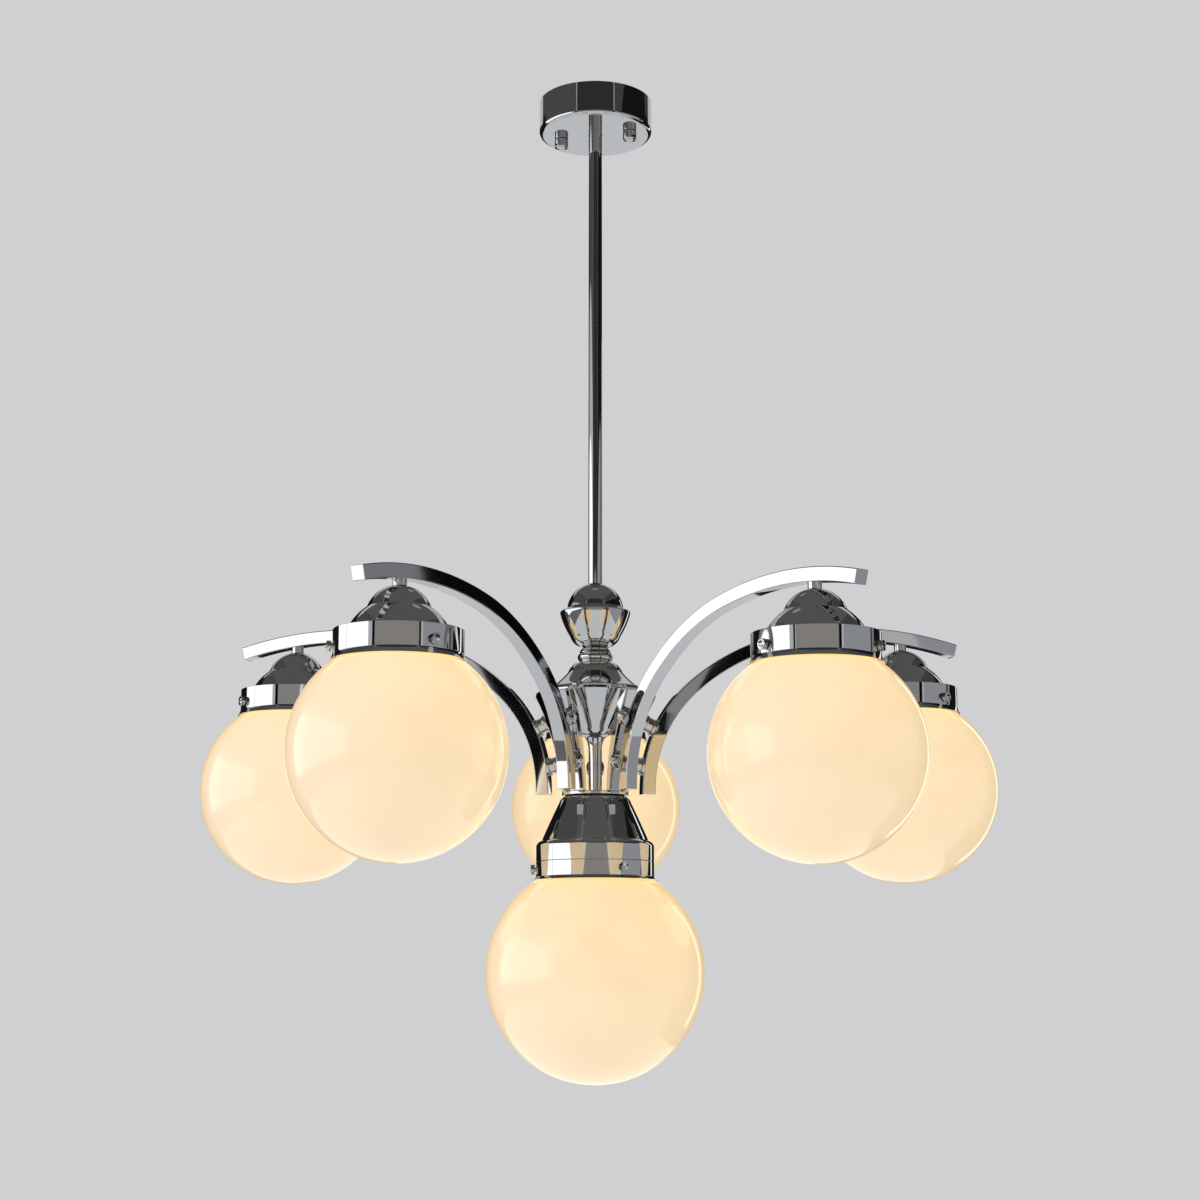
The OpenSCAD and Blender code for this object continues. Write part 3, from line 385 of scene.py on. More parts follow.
def cut_from(piece, cutter):
    """Takes the cutter's shape out of the piece."""
    only(piece)
    bpy.ops.object.modifier_add(type="BOOLEAN")
    cut = piece.modifiers[-1]
    cut.operation = "DIFFERENCE"
    cut.solver = "EXACT"
    cut.object = cutter
    bpy.ops.object.modifier_apply(modifier=cut.name)
    removed(cutter)


def bored(piece, x, y, z, depth, turn=(0, 0, 0)):
    """Bores the hole of a thumbscrew or a stud through a wall of the piece."""
    bpy.ops.object.select_all(action="DESELECT")
    bpy.ops.mesh.primitive_cylinder_add(vertices=32, radius=HOLE_R * MM, depth=depth * MM,
                                        location=(x * MM, y * MM, z * MM), rotation=turn)
    cut_from(piece, bpy.context.object)


def screw_holes(piece, turn, level, wall_r):
    """Bores the three holes of the thumbscrews through a ring wall."""
    for k in range(3):
        way = radians(turn + 120 * k)
        bored(piece, wall_r * cos(way), wall_r * sin(way), level - FOOT_DROP, 7,
              (0, pi / 2, way))


def fitted(piece, body, slot, finish, *nodes):
    """Gives a finished piece its material and its body, and hides the nodes that it stands for."""
    piece.data.materials.clear()
    piece.data.materials.append(finish)
    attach(piece, body)
    if nodes:
        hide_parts(*nodes)
    return piece


# ---------------------------------------------------------------- materials

def metal(name, colour, rough, smear, ripple, ripple_mm, stretch=(1, 1, 1)):
    """Bright metal: a mirror whose gloss changes a little where hands and cloths have been,
    and whose skin is not quite flat, so that reflections waver."""
    finish = bpy.data.materials.new(name)
    tree = bare_tree(finish)
    place = add(tree, "ShaderNodeTexCoord", (-1200, 0))
    shader = add(tree, "ShaderNodeBsdfPrincipled", (0, 0),
                 {"Base Color": linear(colour), "Metallic": 1.0})
    wiped = add(tree, "ShaderNodeTexNoise", (-900, 100),
                {"Scale": 1 / (45 * MM), "Detail": 3.0, "Roughness": 0.6},
                Vector=place.outputs["Object"])
    gloss = add(tree, "ShaderNodeMapRange", (-500, 100),
                {"From Min": 0.35, "From Max": 0.75, "To Min": rough, "To Max": rough + smear},
                Value=wiped.outputs["Fac"])
    tree.links.new(gloss.outputs[0], shader.inputs["Roughness"])
    sheet = add(tree, "ShaderNodeMapping", (-1000, -250), {"Scale": stretch},
                Vector=place.outputs["Object"])
    waver = add(tree, "ShaderNodeTexNoise", (-800, -250),
                {"Scale": 1 / (ripple_mm * MM), "Detail": 1.0}, Vector=sheet.outputs["Vector"])
    bump = add(tree, "ShaderNodeBump", (-300, -250),
               {"Strength": 1.0, "Distance": ripple * MM}, Height=waver.outputs["Fac"])
    tree.links.new(bump.outputs["Normal"], shader.inputs["Normal"])
    out = add(tree, "ShaderNodeOutputMaterial", (300, 0))
    tree.links.new(shader.outputs[0], out.inputs["Surface"])
    return finish


def opal_glass():
    """Blown opal glass, lit from inside: a glossy clear skin over milk-white glass, which glows
    warm and even, a little yellower at the neck, where the glass is nearest to the lamp."""
    finish = bpy.data.materials.new("blown opal glass")
    tree = bare_tree(finish)
    place = add(tree, "ShaderNodeTexCoord", (-1300, 0))
    neck = add(tree, "ShaderNodeAttribute", (-1300, 300), {"attribute_name": "to_neck"})
    cloud = add(tree, "ShaderNodeTexNoise", (-1100, 0),
                {"Scale": 1 / (60 * MM), "Detail": 2.0}, Vector=place.outputs["Object"])
    glow = add(tree, "ShaderNodeValToRGB", (-900, 300), {}, Fac=neck.outputs["Fac"])
    ramp = glow.color_ramp
    ramp.elements[0].position, ramp.elements[0].color = 0.0, linear("#E0C899")
    ramp.elements[1].position, ramp.elements[1].color = 1.0, linear("#EECB80")
    for spot, colour in ((0.45, "#DEC48E"), (0.86, "#DFC284"), (0.95, "#E8C37C")):
        step = ramp.elements.new(spot)
        step.color = linear(colour)
    uneven = add(tree, "ShaderNodeMapRange", (-700, 0),
                 {"From Min": 0.3, "From Max": 0.7, "To Min": 0.97, "To Max": 1.03},
                 Value=cloud.outputs["Fac"])
    shader = add(tree, "ShaderNodeBsdfPrincipled", (0, 0),
                 {"Base Color": linear("#B8A9A6"), "Roughness": 0.14, "IOR": 1.42,
                  "Coat Weight": 0.25, "Coat Roughness": 0.06})
    tree.links.new(glow.outputs["Color"], shader.inputs["Emission Color"])
    tree.links.new(uneven.outputs[0], shader.inputs["Emission Strength"])
    out = add(tree, "ShaderNodeOutputMaterial", (300, 0))
    tree.links.new(shader.outputs[0], out.inputs["Surface"])
    return finish


def moulded(name, colour, rough, grain_mm, depth_mm):
    """Moulded plastic or glazed ware: a fine grain in the bump and small changes of tone."""
    finish = bpy.data.materials.new(name)
    tree = bare_tree(finish)
    place = add(tree, "ShaderNodeTexCoord", (-1100, 0))
    tone = add(tree, "ShaderNodeTexNoise", (-900, 200),
               {"Scale": 1 / (25 * MM), "Detail": 2.0}, Vector=place.outputs["Object"])
    shade = add(tree, "ShaderNodeHueSaturation", (-500, 200), {"Color": linear(colour)})
    level = add(tree, "ShaderNodeMapRange", (-700, 200), {"To Min": 0.95, "To Max": 1.05},
                Value=tone.outputs["Fac"])
    tree.links.new(level.outputs[0], shade.inputs["Value"])
    grain = add(tree, "ShaderNodeTexNoise", (-900, -200),
                {"Scale": 1 / (grain_mm * MM), "Detail": 2.0}, Vector=place.outputs["Object"])
    bump = add(tree, "ShaderNodeBump", (-300, -200),
               {"Strength": 1.0, "Distance": depth_mm * MM}, Height=grain.outputs["Fac"])
    shader = add(tree, "ShaderNodeBsdfPrincipled", (0, 0), {"Roughness": rough, "IOR": 1.5})
    tree.links.new(shade.outputs[0], shader.inputs["Base Color"])
    tree.links.new(bump.outputs["Normal"], shader.inputs["Normal"])
    out = add(tree, "ShaderNodeOutputMaterial", (300, 0))
    tree.links.new(shader.outputs[0], out.inputs["Surface"])
    return finish


def opal_bulb():
    """Opal bulb glass over its lamp: whiter and brighter than the globes round it."""
    finish = bpy.data.materials.new("opal bulb glass")
    tree = bare_tree(finish)
    place = add(tree, "ShaderNodeTexCoord", (-900, 0))
    cloud = add(tree, "ShaderNodeTexNoise", (-700, 0), {"Scale": 1 / (20 * MM), "Detail": 2.0},
                Vector=place.outputs["Object"])
    uneven = add(tree, "ShaderNodeMapRange", (-400, 0), {"To Min": 0.85, "To Max": 0.95},
                 Value=cloud.outputs["Fac"])
    shader = add(tree, "ShaderNodeBsdfPrincipled", (0, 0),
                 {"Base Color": linear("#8F8A80"), "Roughness": 0.2, "IOR": 1.5,
                  "Emission Color": linear("#FFE9BE")})
    tree.links.new(uneven.outputs[0], shader.inputs["Emission Strength"])
    out = add(tree, "ShaderNodeOutputMaterial", (300, 0))
    tree.links.new(shader.outputs[0], out.inputs["Surface"])
    return finish


CHROME = "#C8C9CA"
# Chrome plate on spun brass: soft rings across the axis from the spinning
SPUN = metal("chrome plate on spun brass", CHROME, 0.025, 0.05, 0.012, 22, (1, 1, 2.2))
# Chrome plate on turned brass: the crispest mirror on the lamp
TURNED = metal("chrome plate on turned brass", CHROME, 0.02, 0.03, 0.004, 12)
# Chrome plate on drawn square bar: long, slightly wavering reflections
DRAWN = metal("chrome plate on drawn bar", CHROME, 0.025, 0.04, 0.008, 26)
# Chrome plate on steel tube: straight, even reflections
TUBE = metal("chrome plate on steel tube", CHROME, 0.03, 0.04, 0.004, 60, (1, 1, 0.3))
# Zinc plate on pressed steel: duller, bluish and spangled
ZINC = metal("zinc plate on pressed steel", "#B9BCBE", 0.22, 0.2, 0.02, 4)
# Nickel plate on the bulbs' rolled screw caps
NICKEL = metal("nickel plate on rolled brass", "#C9C2B4", 0.12, 0.12, 0.01, 6)
OPAL = opal_glass()
OPAL_BULB = opal_bulb()
# Steatite, the pale glazed ware of lampholders
STEATITE = moulded("glazed steatite", "#E9E6DC", 0.18, 1.2, 0.02)
# Polyamide of the terminal block: matt and faintly grained
POLYAMIDE = moulded("moulded polyamide", "#DEDCD3", 0.45, 0.6, 0.03)


# ---------------------------------------------------------------- hub

def hub():
    """The turned parts between the rod and the centre globe, from the top down."""
    cup_r, cup_low_r, cup_foot_r, cup_low = 33, 23.6, 10.4, COLLAR_TOP + 10.8
    ball_cap = turned("ball_cap_turned", [
        (TIE_BORE_R, CUP_TOP), (cup_r, CUP_TOP), (32.6, CUP_TOP + 0.9), (26.9, BALL_FOOT - 0.5)]
        + ball(26.5, BALL_FOOT - 2.5, BALL_FOOT, CAP_TOP)
        + [(6.6, CAP_TOP), (6.6, ROD_FOOT), (TIE_BORE_R, ROD_FOOT)])
    cup = turned("spindle_cup_turned",
                 [(TIE_BORE_R, COLLAR_TOP), (TIE_BORE_R, CUP_TOP), (cup_r, CUP_TOP),
                  (cup_r, CUP_TOP - 1)]
                 + bow((cup_r, CUP_TOP - 1), (cup_low_r, cup_low), 0.9)
                 + bow((cup_low_r, cup_low), (cup_foot_r, COLLAR_TOP), 2.6))
    collar = turned("collar_turned",
                    [(TIE_BORE_R, BELL_TOP), (14.6, BELL_TOP)]
                    + arc((12.6, BELL_TOP + 4.2), 3.9, -60, 50, 12)
                    + bow((14.6, BELL_TOP + 8.2), (11.2, COLLAR_TOP - 0.6), -1.0)
                    + [(cup_foot_r, COLLAR_TOP), (TIE_BORE_R, COLLAR_TOP)])
    waist_r, rim_r = 25.5, 44
    waist, rim = BELL_TOP - 10, BELL_TOP - 25.3
    bell = turned("bell_cover_spun",
                  [(TIE_BORE_R, BELL_TOP - 2), (TIE_BORE_R, BELL_TOP)]
                  + bow((15, BELL_TOP), (waist_r, waist), 1.8)
                  + bow((waist_r, waist), (rim_r, rim), -1.2)
                  + [(rim_r, rim - 1.4)]
                  + bow((42.8, rim - 1.4), (23.5, waist - 1), 1.2)
                  + bow((23.5, waist - 1), (13, BELL_TOP - 2), -1.8))
    dish_r, post_r, plate_r = 43.5, 9, 31
    column = turned("column_turned",
                    [(TIE_BORE_R, PLATE_TOP), (5.0, PLATE_TOP), (5.6, 31), (6.3, STEM_TOP),
                     (7.3, 48), (8.9, 51), (10.8, 52.6), (12.9, 53.4), (14.9, 54.9), (16.3, 57.3),
                     (17.5, 61), (38, CONE_TOP), (dish_r, DISH_TOP - 0.4), (dish_r, DISH_TOP),
                     (post_r, DISH_TOP), (post_r, BELL_TOP - 2), (TIE_BORE_R, BELL_TOP - 2)])
    plate = turned("stay_plate_turned", [(TIE_BORE_R, PLATE_FOOT), (plate_r, PLATE_FOOT),
                                         (plate_r, PLATE_TOP), (TIE_BORE_R, PLATE_TOP)])
    top_r, round_r, cone_r = 26, 33.5, 49.4
    inner = SKIRT_R - SHEET
    lower_bell = turned("lower_bell_spun",
                        [(TIE_BORE_R, PLATE_FOOT - SHEET), (TIE_BORE_R, PLATE_FOOT)]
                        + bow((top_r, PLATE_FOOT), (round_r, ROUND_FOOT), 1.5)
                        + bow((round_r, ROUND_FOOT), (cone_r, BELL_CONE_FOOT), 0.25)
                        + bow((cone_r, BELL_CONE_FOOT), (SKIRT_R, SKIRT_TOP), 1)
                        + [(SKIRT_R, SKIRT_FOOT + 0.25), (inner, SKIRT_FOOT + 0.25)]
                        + bow((inner, SKIRT_TOP - 0.6), (cone_r - SHEET, BELL_CONE_FOOT - 0.6), -1)
                        + bow((round_r - SHEET, ROUND_FOOT - 0.6), (top_r, PLATE_FOOT - SHEET),
                              -1.2))
    bore = RING_BORE_R - 0.5
    lip = CENTRE_WALL_FOOT - 3.1
    spigot = inner - 0.1
    centre_gallery = turned("centre_gallery_spun",
                            [(bore, SKIRT_FOOT + 8), (spigot, SKIRT_FOOT + 8),
                             (spigot, SKIRT_FOOT), (SKIRT_R, SKIRT_FOOT),
                             (SKIRT_R, CENTRE_WALL_FOOT)]
                            + bow((SKIRT_R, CENTRE_WALL_FOOT), (SKIRT_R + 4.6, lip), -0.3)
                            + [(SKIRT_R + 4.2, lip - 0.001), (SKIRT_R + 3.1, lip)]
                            + bow((SKIRT_R + 3.1, lip), (bore, CENTRE_WALL_FOOT), 0.3))
    for piece, width, finish, node in (
            (ball_cap, 0.35, TURNED, "ball_cap"), (cup, 0.3, TURNED, "spindle_cup"),
            (collar, 0.3, TURNED, "collar"), (bell, 0.35, SPUN, "bell_cover"),
            (column, 0.4, TURNED, "column"), (plate, 0.5, TURNED, "stay_plate"),
            (lower_bell, 0.3, SPUN, "lower_bell")):
        softened(piece, width)
        polished(piece)
        fitted(piece, "fixture", "chrome", finish, node)
    softened(centre_gallery, 0.25)
    screw_holes(centre_gallery, CENTRE_SCREW_TURN, CENTRE_SCREW_LEVEL, SKIRT_R)
    polished(centre_gallery)
    fitted(centre_gallery, "fixture", "chrome", SPUN, "centre_gallery")


# ---------------------------------------------------------------- arms, stays, spacers

def bend_start(i):
    """Distance from the axis, level and heading where bend i starts."""
    if i == 0:
        return ARM_FOOT, 0.0, 90.0
    (cx, cz), radius = bend_centre(i - 1), BENDS[i - 1][0]
    heading = bend_start(i - 1)[2] - BENDS[i - 1][1]
    return cx - radius * sin(radians(heading)), cz + radius * cos(radians(heading)), heading


def bend_centre(i):
    """Distance from the axis and level of the point round which bend i runs."""
    x, z, heading = bend_start(i)
    radius = BENDS[i][0]
    return x + radius * sin(radians(heading)), z - radius * cos(radians(heading))


def on_bend(centre, radius, heading):
    """The point of a bend where a bar heads this way, in degrees above level."""
    return (centre[0] - radius * sin(radians(heading)), centre[1] + radius * cos(radians(heading)))


def arm_bar():
    """One arm towards +X: a rounded square is spun round the centre of each bend in turn."""
    step_mm = 3
    bpy.ops.object.select_all(action="DESELECT")
    bpy.ops.mesh.primitive_plane_add(size=BAR_W * MM, location=(ARM_FOOT * MM, 0, -FOOT_DROP * MM))
    bar = bpy.context.object
    bar.name = "arm_bar"
    bpy.ops.object.transform_apply(location=True)
    bpy.ops.object.mode_set(mode="EDIT")
    bpy.ops.mesh.select_all(action="SELECT")
    bpy.ops.mesh.bevel(affect="VERTICES", offset=1.0 * MM, segments=5)
    for i, (radius, sweep) in enumerate(BENDS):
        cx, cz = bend_centre(i)
        bpy.ops.mesh.spin(steps=max(3, round(radius * radians(sweep) / step_mm)),
                          angle=-radians(sweep), center=(cx * MM, 0, (cz - FOOT_DROP) * MM),
                          axis=(0, 1, 0))
    bpy.ops.mesh.select_all(action="SELECT")
    bpy.ops.mesh.remove_doubles(threshold=2e-6)
    bpy.ops.mesh.normals_make_consistent(inside=False)
    bpy.ops.object.mode_set(mode="OBJECT")
    softened(bar, 0.5, 3, 60)
    return polished(bar)


def stay_bar():
    """One stay behind an arm: its outline is drawn from the side and pulled out to its width."""
    outer, inner = [], []
    steps = 24
    for i in range(steps + 1):
        part = i / steps
        heading = STAY_LEAN - STAY_SWEEP * part
        thick = STAY_FOOT_T + (STAY_TOP_T - STAY_FOOT_T) * part
        outer.append(on_bend(STAY_CENTRE, STAY_R, heading))
        inner.append(on_bend(STAY_CENTRE, STAY_R + thick, heading))
    inner[0] = (inner[0][0], PLATE_TOP)
    top_out, top_in = outer[-1], inner[-1]
    middle = ((top_out[0] + top_in[0]) / 2, (top_out[1] + top_in[1]) / 2)
    start = degrees(asin((top_out[1] - middle[1]) / (STAY_TOP_T / 2)))
    end = arc(middle, STAY_TOP_T / 2, start, start + 180, 14)
    bar = ring_of_corners("stay_bar", outer + end[1:-1] + inner[::-1])
    bpy.ops.object.mode_set(mode="EDIT")
    bpy.ops.mesh.select_all(action="SELECT")
    bpy.ops.mesh.edge_face_add()
    bpy.ops.transform.translate(value=(0, -BAR_W / 2 * MM, 0))
    bpy.ops.mesh.extrude_region_move(TRANSFORM_OT_translate={"value": (0, BAR_W * MM, 0)})
    bpy.ops.mesh.select_all(action="SELECT")
    bpy.ops.mesh.normals_make_consistent(inside=False)
    bpy.ops.object.mode_set(mode="OBJECT")
    softened(bar, 0.7, 3)
    return polished(bar)


def spacer(name, heading):
    """One turned spacer: two flanges with a groove between them, from the arm to its stay."""
    knee = bend_centre(KNEE)
    foot = on_bend(knee, BENDS[KNEE][0] + BAR_W / 2, heading)
    px, pz = foot[0] - STAY_CENTRE[0], foot[1] - STAY_CENTRE[1]
    along = -px * sin(radians(heading)) + pz * cos(radians(heading))
    length = sqrt(along * along - px * px - pz * pz + STAY_R * STAY_R) - along
    r, sunk, flange = 8.5, 0.3, length / 5
    piece = turned(name, [(0.01, -sunk), (r, -sunk), (r, flange), (r - 1, flange + 0.6)]
                   + [(r - 1, length - flange - 0.6), (r, length - flange), (r, length + sunk),
                      (0.01, length + sunk)], 48, 0)
    softened(piece, 0.35)
    polished(piece)
    move = shift(foot[0], 0, foot[1] - FOOT_DROP) @ spun(-heading, "Y")
    placed = copied(piece, name, move)
    removed(piece)
    return placed


def arms():
    bar, stay = arm_bar(), stay_bar()
    lower, upper = (spacer(f"spacer_{n}", h) for n, h in zip(("low", "high"), SPACER_HEADINGS))
    for i, turn in ARM_TURNS.items():
        way = spun(turn)
        fitted(copied(bar, f"arm_{i}_bar", way), "fixture", "chrome", DRAWN, f"arm_{i}")
        fitted(copied(stay, f"stay_{i}", way), "fixture", "chrome", DRAWN, "stays")
        for piece, place in ((lower, "low"), (upper, "high")):
            fitted(copied(piece, f"arm_spacer_{i}_{place}", way), "fixture", "chrome", TURNED,
                   "arm_spacers")
    for piece in (bar, stay, lower, upper):
        removed(piece)


# ---------------------------------------------------------------- galleries and screws

def gallery_section():
    """Two domes, a flat shoulder, a ring wall and a flared lip, all of one sheet."""
    t = SHEET
    bore_r, upper_r, lower_r, flat_r, flare = 5.1, 28.3, 46.9, 6.5, 2.5
    upper_c = -sqrt(upper_r ** 2 - flat_r ** 2)
    waist_r = sqrt(upper_r ** 2 - (UPPER_DOME_FOOT - upper_c) ** 2)
    lower_c = UPPER_DOME_FOOT - sqrt(lower_r ** 2 - waist_r ** 2)
    inner_waist_r = sqrt((upper_r - t) ** 2 - (UPPER_DOME_FOOT - upper_c) ** 2)
    inner_waist = lower_c + sqrt((lower_r - t) ** 2 - inner_waist_r ** 2)
    lip = RING_FOOT - 5.7
    points = ([(bore_r, 0)]
              + ball(upper_r, upper_c, 0, UPPER_DOME_FOOT)
              + ball(lower_r, lower_c, UPPER_DOME_FOOT, LOWER_DOME_FOOT)
              + [(RING_R, LOWER_DOME_FOOT), (RING_R, RING_FOOT)]
              + bow((RING_R, RING_FOOT), (RING_R + flare, lip), -0.4, 6)
              + bow((RING_BORE_R + flare, lip), (RING_BORE_R, RING_FOOT), 0.4, 6)
              + [(RING_BORE_R, LOWER_DOME_FOOT - t)]
              + ball(lower_r - t, lower_c, LOWER_DOME_FOOT - t, inner_waist)
              + ball(upper_r - t, upper_c, UPPER_DOME_FOOT, -t)
              + [(bore_r, -t)])
    return [(x, z + GALLERY_TOP) for x, z in points]


def at_globe(i, turn):
    """Moves a piece from the upright axis to globe i's axis and turns it there."""
    x, y = (ARM_REACH * f(radians(ARM_TURNS[i])) for f in (cos, sin))
    return shift(x, y, 0) @ spun(turn)


def thumbscrew(wall_r, level):
    """A thumbscrew along +X: a threaded shank, and a domed head with a slot."""
    tip, head = NECK_R + SCREW_GAP, wall_r + 1
    end = head + 5
    thread, pitch, start = [], 0.7, tip + 0.5
    for k in range(int((head - start - 0.3) / pitch)):
        thread += [(1.72, start + pitch * k), (2.0, start + pitch * (k + 0.5))]
    points = ([(0.01, tip), (1.2, tip)] + thread + [(1.9, head), (4.2, head), (4.5, head + 0.4)]
              + bow((4.5, end - 1.25), (0.01, end), 0.42, 8))
    screw = turned("thumbscrew", points, 40, 0)
    softened(screw, 0.2, 2, 50)
    placed = copied(screw, "thumbscrew_placed", shift(0, 0, level - FOOT_DROP) @ spun(90, "Y"))
    removed(screw)
    bpy.ops.object.select_all(action="DESELECT")
    bpy.ops.mesh.primitive_cube_add(size=1, location=((end + 0.5) * MM, 0,
                                                      (level - FOOT_DROP) * MM))
    slot = bpy.context.object
    slot.scale = (4 * MM, 12 * MM, 1.2 * MM)
    bpy.ops.object.transform_apply(location=True, rotation=True, scale=True)
    cut_from(placed, slot)
    return polished(placed)


def galleries():
    shell = softened(turned("gallery_shell", gallery_section()), 0.3)
    screw_holes(shell, 0, SCREW_LEVEL, RING_R)
    polished(shell)
    screw = thumbscrew(RING_R, SCREW_LEVEL)
    nipple = polished(softened(turned("nipple", [
        (2.5, HOLDER_TOP - 8), (4.9, HOLDER_TOP - 8), (4.9, GALLERY_TOP - 0.1),
        (5.9, GALLERY_TOP), (5.9, ARM_UNDERSIDE + 0.6), (5, ARM_UNDERSIDE + 0.7),
        (5, ARM_UNDERSIDE + 6.9), (2.5, ARM_UNDERSIDE + 6.9)], 64), 0.3))
    for i in ARM_TURNS:
        fitted(copied(shell, f"gallery_{i}_shell", at_globe(i, SCREW_TURNS[i])),
               "fixture", "chrome", SPUN, f"gallery_{i}")
        fitted(copied(nipple, f"nipple_{i}", at_globe(i, 0)),
               "fixture", "chrome", TURNED, "arm_nipples")
        for k, letter in enumerate("abc"):
            node = f"screw_{i}{letter}"
            fitted(copied(screw, f"thumbscrew_{i}{letter}",
                          at_globe(i, SCREW_TURNS[i] + 120 * k)), node, "chrome", TURNED, node)
    centre_screw = thumbscrew(SKIRT_R, CENTRE_SCREW_LEVEL)
    for k, letter in enumerate("abc"):
        node = f"centre_screw_{letter}"
        fitted(copied(centre_screw, f"centre_thumbscrew_{letter}",
                      spun(CENTRE_SCREW_TURN + 120 * k)), node, "chrome", TURNED, node)
    for piece in (shell, screw, nipple, centre_screw):
        removed(piece)


# ---------------------------------------------------------------- globes

def globe(name, radius, neck_foot, neck_h):
    """Blown globe with a straight neck and a melted rim; to_neck runs from pole to neck."""
    wall, rim_r = 3.0, 1.2
    centre = neck_foot - sqrt(radius ** 2 - NECK_R ** 2)
    top = neck_foot + neck_h
    inner = NECK_R - wall
    inner_foot = centre + sqrt((radius - wall) ** 2 - inner ** 2)
    points = (ball(radius, centre, centre - radius, neck_foot, 72)
              + arc((NECK_R - rim_r, top - rim_r), rim_r, 0, 90, 4)
              + arc((inner + rim_r, top - rim_r), rim_r, 90, 180, 4)
              + ball(radius - wall, centre, inner_foot, centre - radius + wall, 56))
    piece = smoothed(turned(name, points), 50)
    mesh = piece.data
    share = mesh.attributes.new("to_neck", "FLOAT", "POINT")
    low, high = centre - radius - FOOT_DROP, neck_foot - FOOT_DROP
    share.data.foreach_set("value", [
        max(0.0, min(1.0, (v.co.z / MM - low) / (high - low))) for v in mesh.vertices])
    return piece


def globes():
    arm_globe = globe("arm_globe", 90, GALLERY_TOP + RING_FOOT - 3.4, 17)
    for i in ARM_TURNS:
        fitted(copied(arm_globe, f"globe_{i}_glass", at_globe(i, 0)), f"globe_{i}", "opal_glass",
               OPAL, f"globe_{i}")
    removed(arm_globe)
    fitted(globe("centre_globe_glass", 100, CENTRE_WALL_FOOT - 0.1, 16), "centre_globe",
           "opal_glass", OPAL, "centre_globe")


# ---------------------------------------------------------------- canopy and rod

def stud_place(side):
    """Where a stud stands, on one side of the rod or the other."""
    return (side * STUD_REACH * cos(radians(STRAP_TURN)),
            side * STUD_REACH * sin(radians(STRAP_TURN)))


def canopy():
    """The drawn cup against the ceiling, and the two cap nuts that hold it."""
    edge, bore_r = 4, 6.8
    corner = (CANOPY_R - edge, edge - CANOPY_H)
    cup = turned("canopy_cup",
                 [(bore_r, -CANOPY_H), (CANOPY_R - edge, -CANOPY_H)]
                 + arc(corner, edge, -90, 0, 10)
                 + [(CANOPY_R, 0), (CANOPY_R - SHEET, 0)]
                 + arc(corner, edge - SHEET, 0, -90, 8)
                 + [(bore_r, SHEET - CANOPY_H)], ROUND, 0)
    softened(cup, 0.3)
    for side in (-1, 1):
        bored(cup, *stud_place(side), -CANOPY_H, 8)
    polished(cup)
    fitted(cup, "canopy", "chrome", SPUN, "canopy")
    nut_r = 6.5
    nut = turned("cap_nut", [(HOLE_R, -0.3), (6.0, -0.3), (nut_r, -0.8), (nut_r, -8.0)]
                 + bow((nut_r, -8.0), (0.01, -10.3), 0.8, 10)
                 + [(0.01, -6.8), (HOLE_R, -6.8)], 64, CANOPY_H)
    softened(nut, 0.3)
    polished(nut)
    for k, side in ((1, 1), (2, -1)):
        node = f"canopy_nut_{k}"
        fitted(copied(nut, f"cap_nut_{k}", shift(*stud_place(side), 0)), node, "chrome", TURNED,
               node)
    removed(nut)


def rod():
    foot, top = ROD_FOOT - FOOT_DROP, -14.5
    tube = turned("rod_tube", [(4.2, foot), (6.5, foot), (6.5, top), (5, top), (5, -4), (3, -4),
                               (3, top - 1), (4.2, top - 1)], 96, 0)
    softened(tube, 0.3)
    polished(tube)
    fitted(tube, "fixture", "chrome", TUBE, "down_rod")


# ---------------------------------------------------------------- bulbs and lampholders

def lampholder(name, top):
    """Lampholder: a neck, a domed cap and a ribbed body, open below."""
    points = ([(5.1, top), (8, top), (8, top - 6)]
              + bow((8.6, top - 7), (18.6, top - 13.6), 2, 8)
              + [(19, top - 14), (19, top - 16), (18.2, top - 16.6), (18.2, top - 40),
                 (19, top - 40.6), (19, top - 50), (13.6, top - 50), (13.3, top - 49),
                 (13.3, top - 25), (5.1, top - 24.7)])
    return polished(softened(turned(name, points, 80), 0.4))


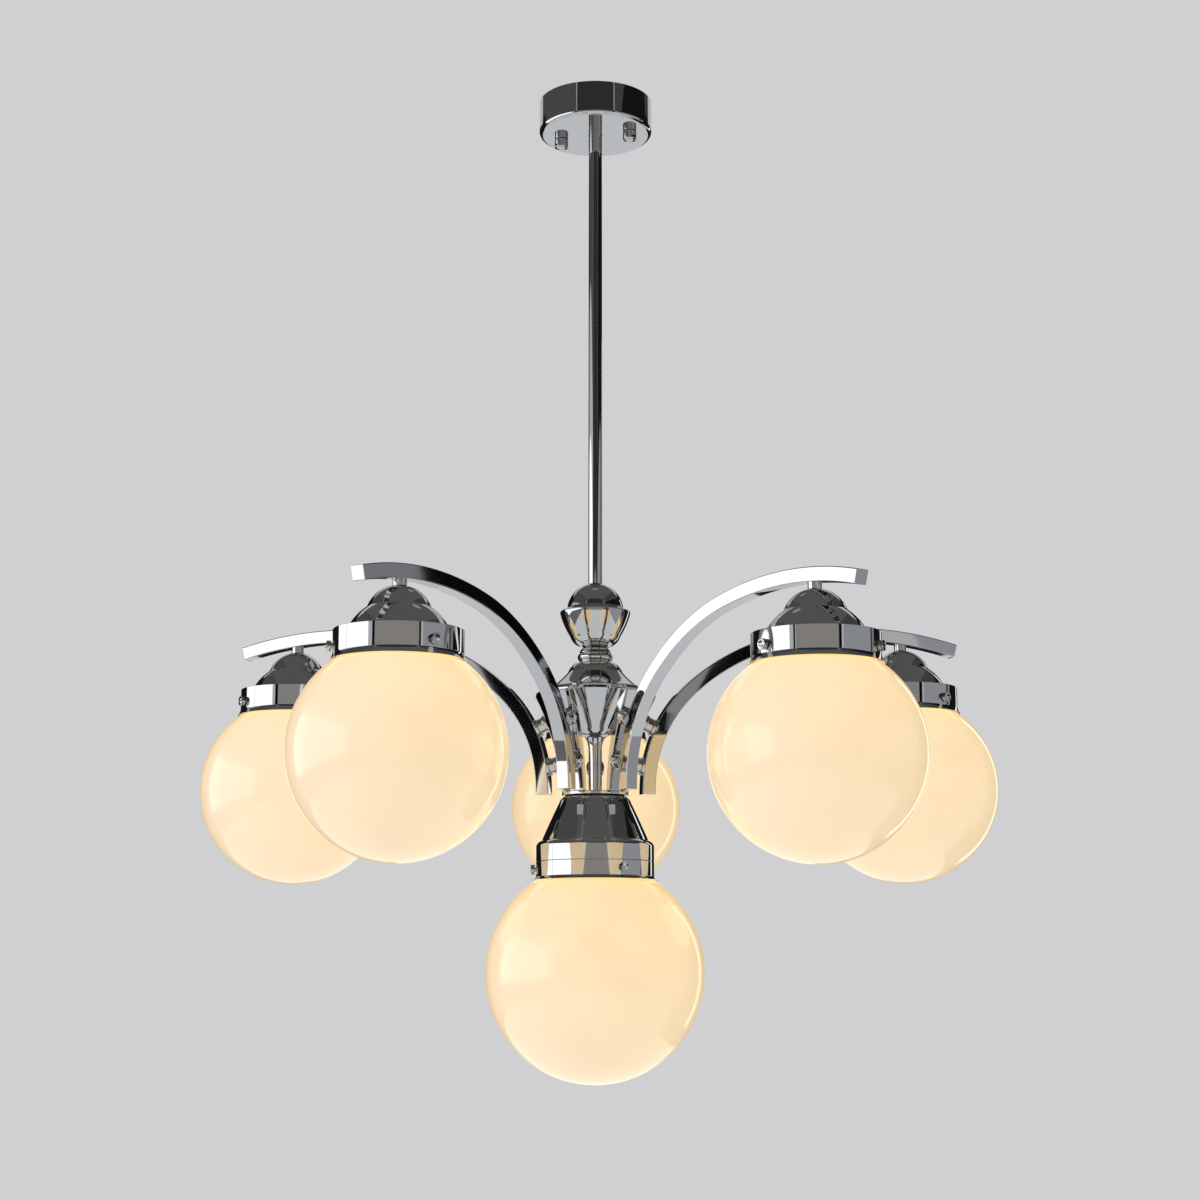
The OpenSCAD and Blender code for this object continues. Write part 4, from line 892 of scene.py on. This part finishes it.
def bulb(name, top):
    """Bulb: an opal ball with a short neck; its cap is a piece of its own."""
    middle = top - 76
    points = (ball(22.5, middle, middle - 22.5, middle, 26)
              + bow((22.5, middle), (12.6, top - 51.5), 1.5, 12)
              + [(0.01, top - 51.5)])
    return smoothed(turned(name, points, 80), 40)


def bulb_cap(name, top):
    """The rolled screw cap of a bulb, and the solder spot at its end."""
    end, foot = top - 25, top - 51.4
    turns = []
    for k in range(5):
        z = foot + 4 + 3.6 * k
        turns += arc((11.9, z + 0.9), 1.05, -80, 80, 5) + arc((13.15, z + 2.7), 0.75, -110, -250, 4)
    points = ([(0.01, foot), (12.6, foot), (12.9, foot + 1), (12.2, foot + 2.6)] + turns
              + [(11.5, end - 1.6), (6, end - 0.8), (3.5, end - 0.5)]
              + bow((3.5, end - 0.5), (0.01, end), 0.3, 5))
    return smoothed(turned(name, points, 72), 50)


def lamps():
    holder, glass, cap = (make(name, HOLDER_TOP) for make, name in (
        (lampholder, "holder"), (bulb, "bulb"), (bulb_cap, "cap")))
    for i in ARM_TURNS:
        move = at_globe(i, 0)
        fitted(copied(holder, f"lampholder_{i}", move), "fixture", "white_plastic", STEATITE,
               "lampholders")
        fitted(copied(glass, f"bulb_{i}_glass", move), f"bulb_{i}", "bulb_glass", OPAL_BULB,
               f"bulb_{i}")
        fitted(copied(cap, f"bulb_{i}_cap", move), f"bulb_{i}", "bulb_glass", NICKEL,
               f"bulb_{i}")
    down = shift(0, 0, PLATE_FOOT - SHEET - HOLDER_DROP - HOLDER_TOP)
    fitted(copied(holder, "lampholder_centre", down), "fixture", "white_plastic", STEATITE,
           "lampholders")
    fitted(copied(glass, "centre_bulb_glass", down), "centre_bulb", "bulb_glass", OPAL_BULB,
           "centre_bulb")
    fitted(copied(cap, "centre_bulb_cap", down), "centre_bulb", "bulb_glass", NICKEL,
           "centre_bulb")
    for piece in (holder, glass, cap):
        removed(piece)


hub()
arms()
galleries()
globes()
canopy()
rod()
lamps()

for node, finish in (("ceiling_bracket", ZINC), ("rod_nut", ZINC), ("terminal_block", POLYAMIDE),
                     ("tie_rod", TURNED)):
    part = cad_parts[node]
    part.data.materials.clear()
    part.data.materials.append(finish)

bpy.context.scene.view_settings.view_transform = "Standard"
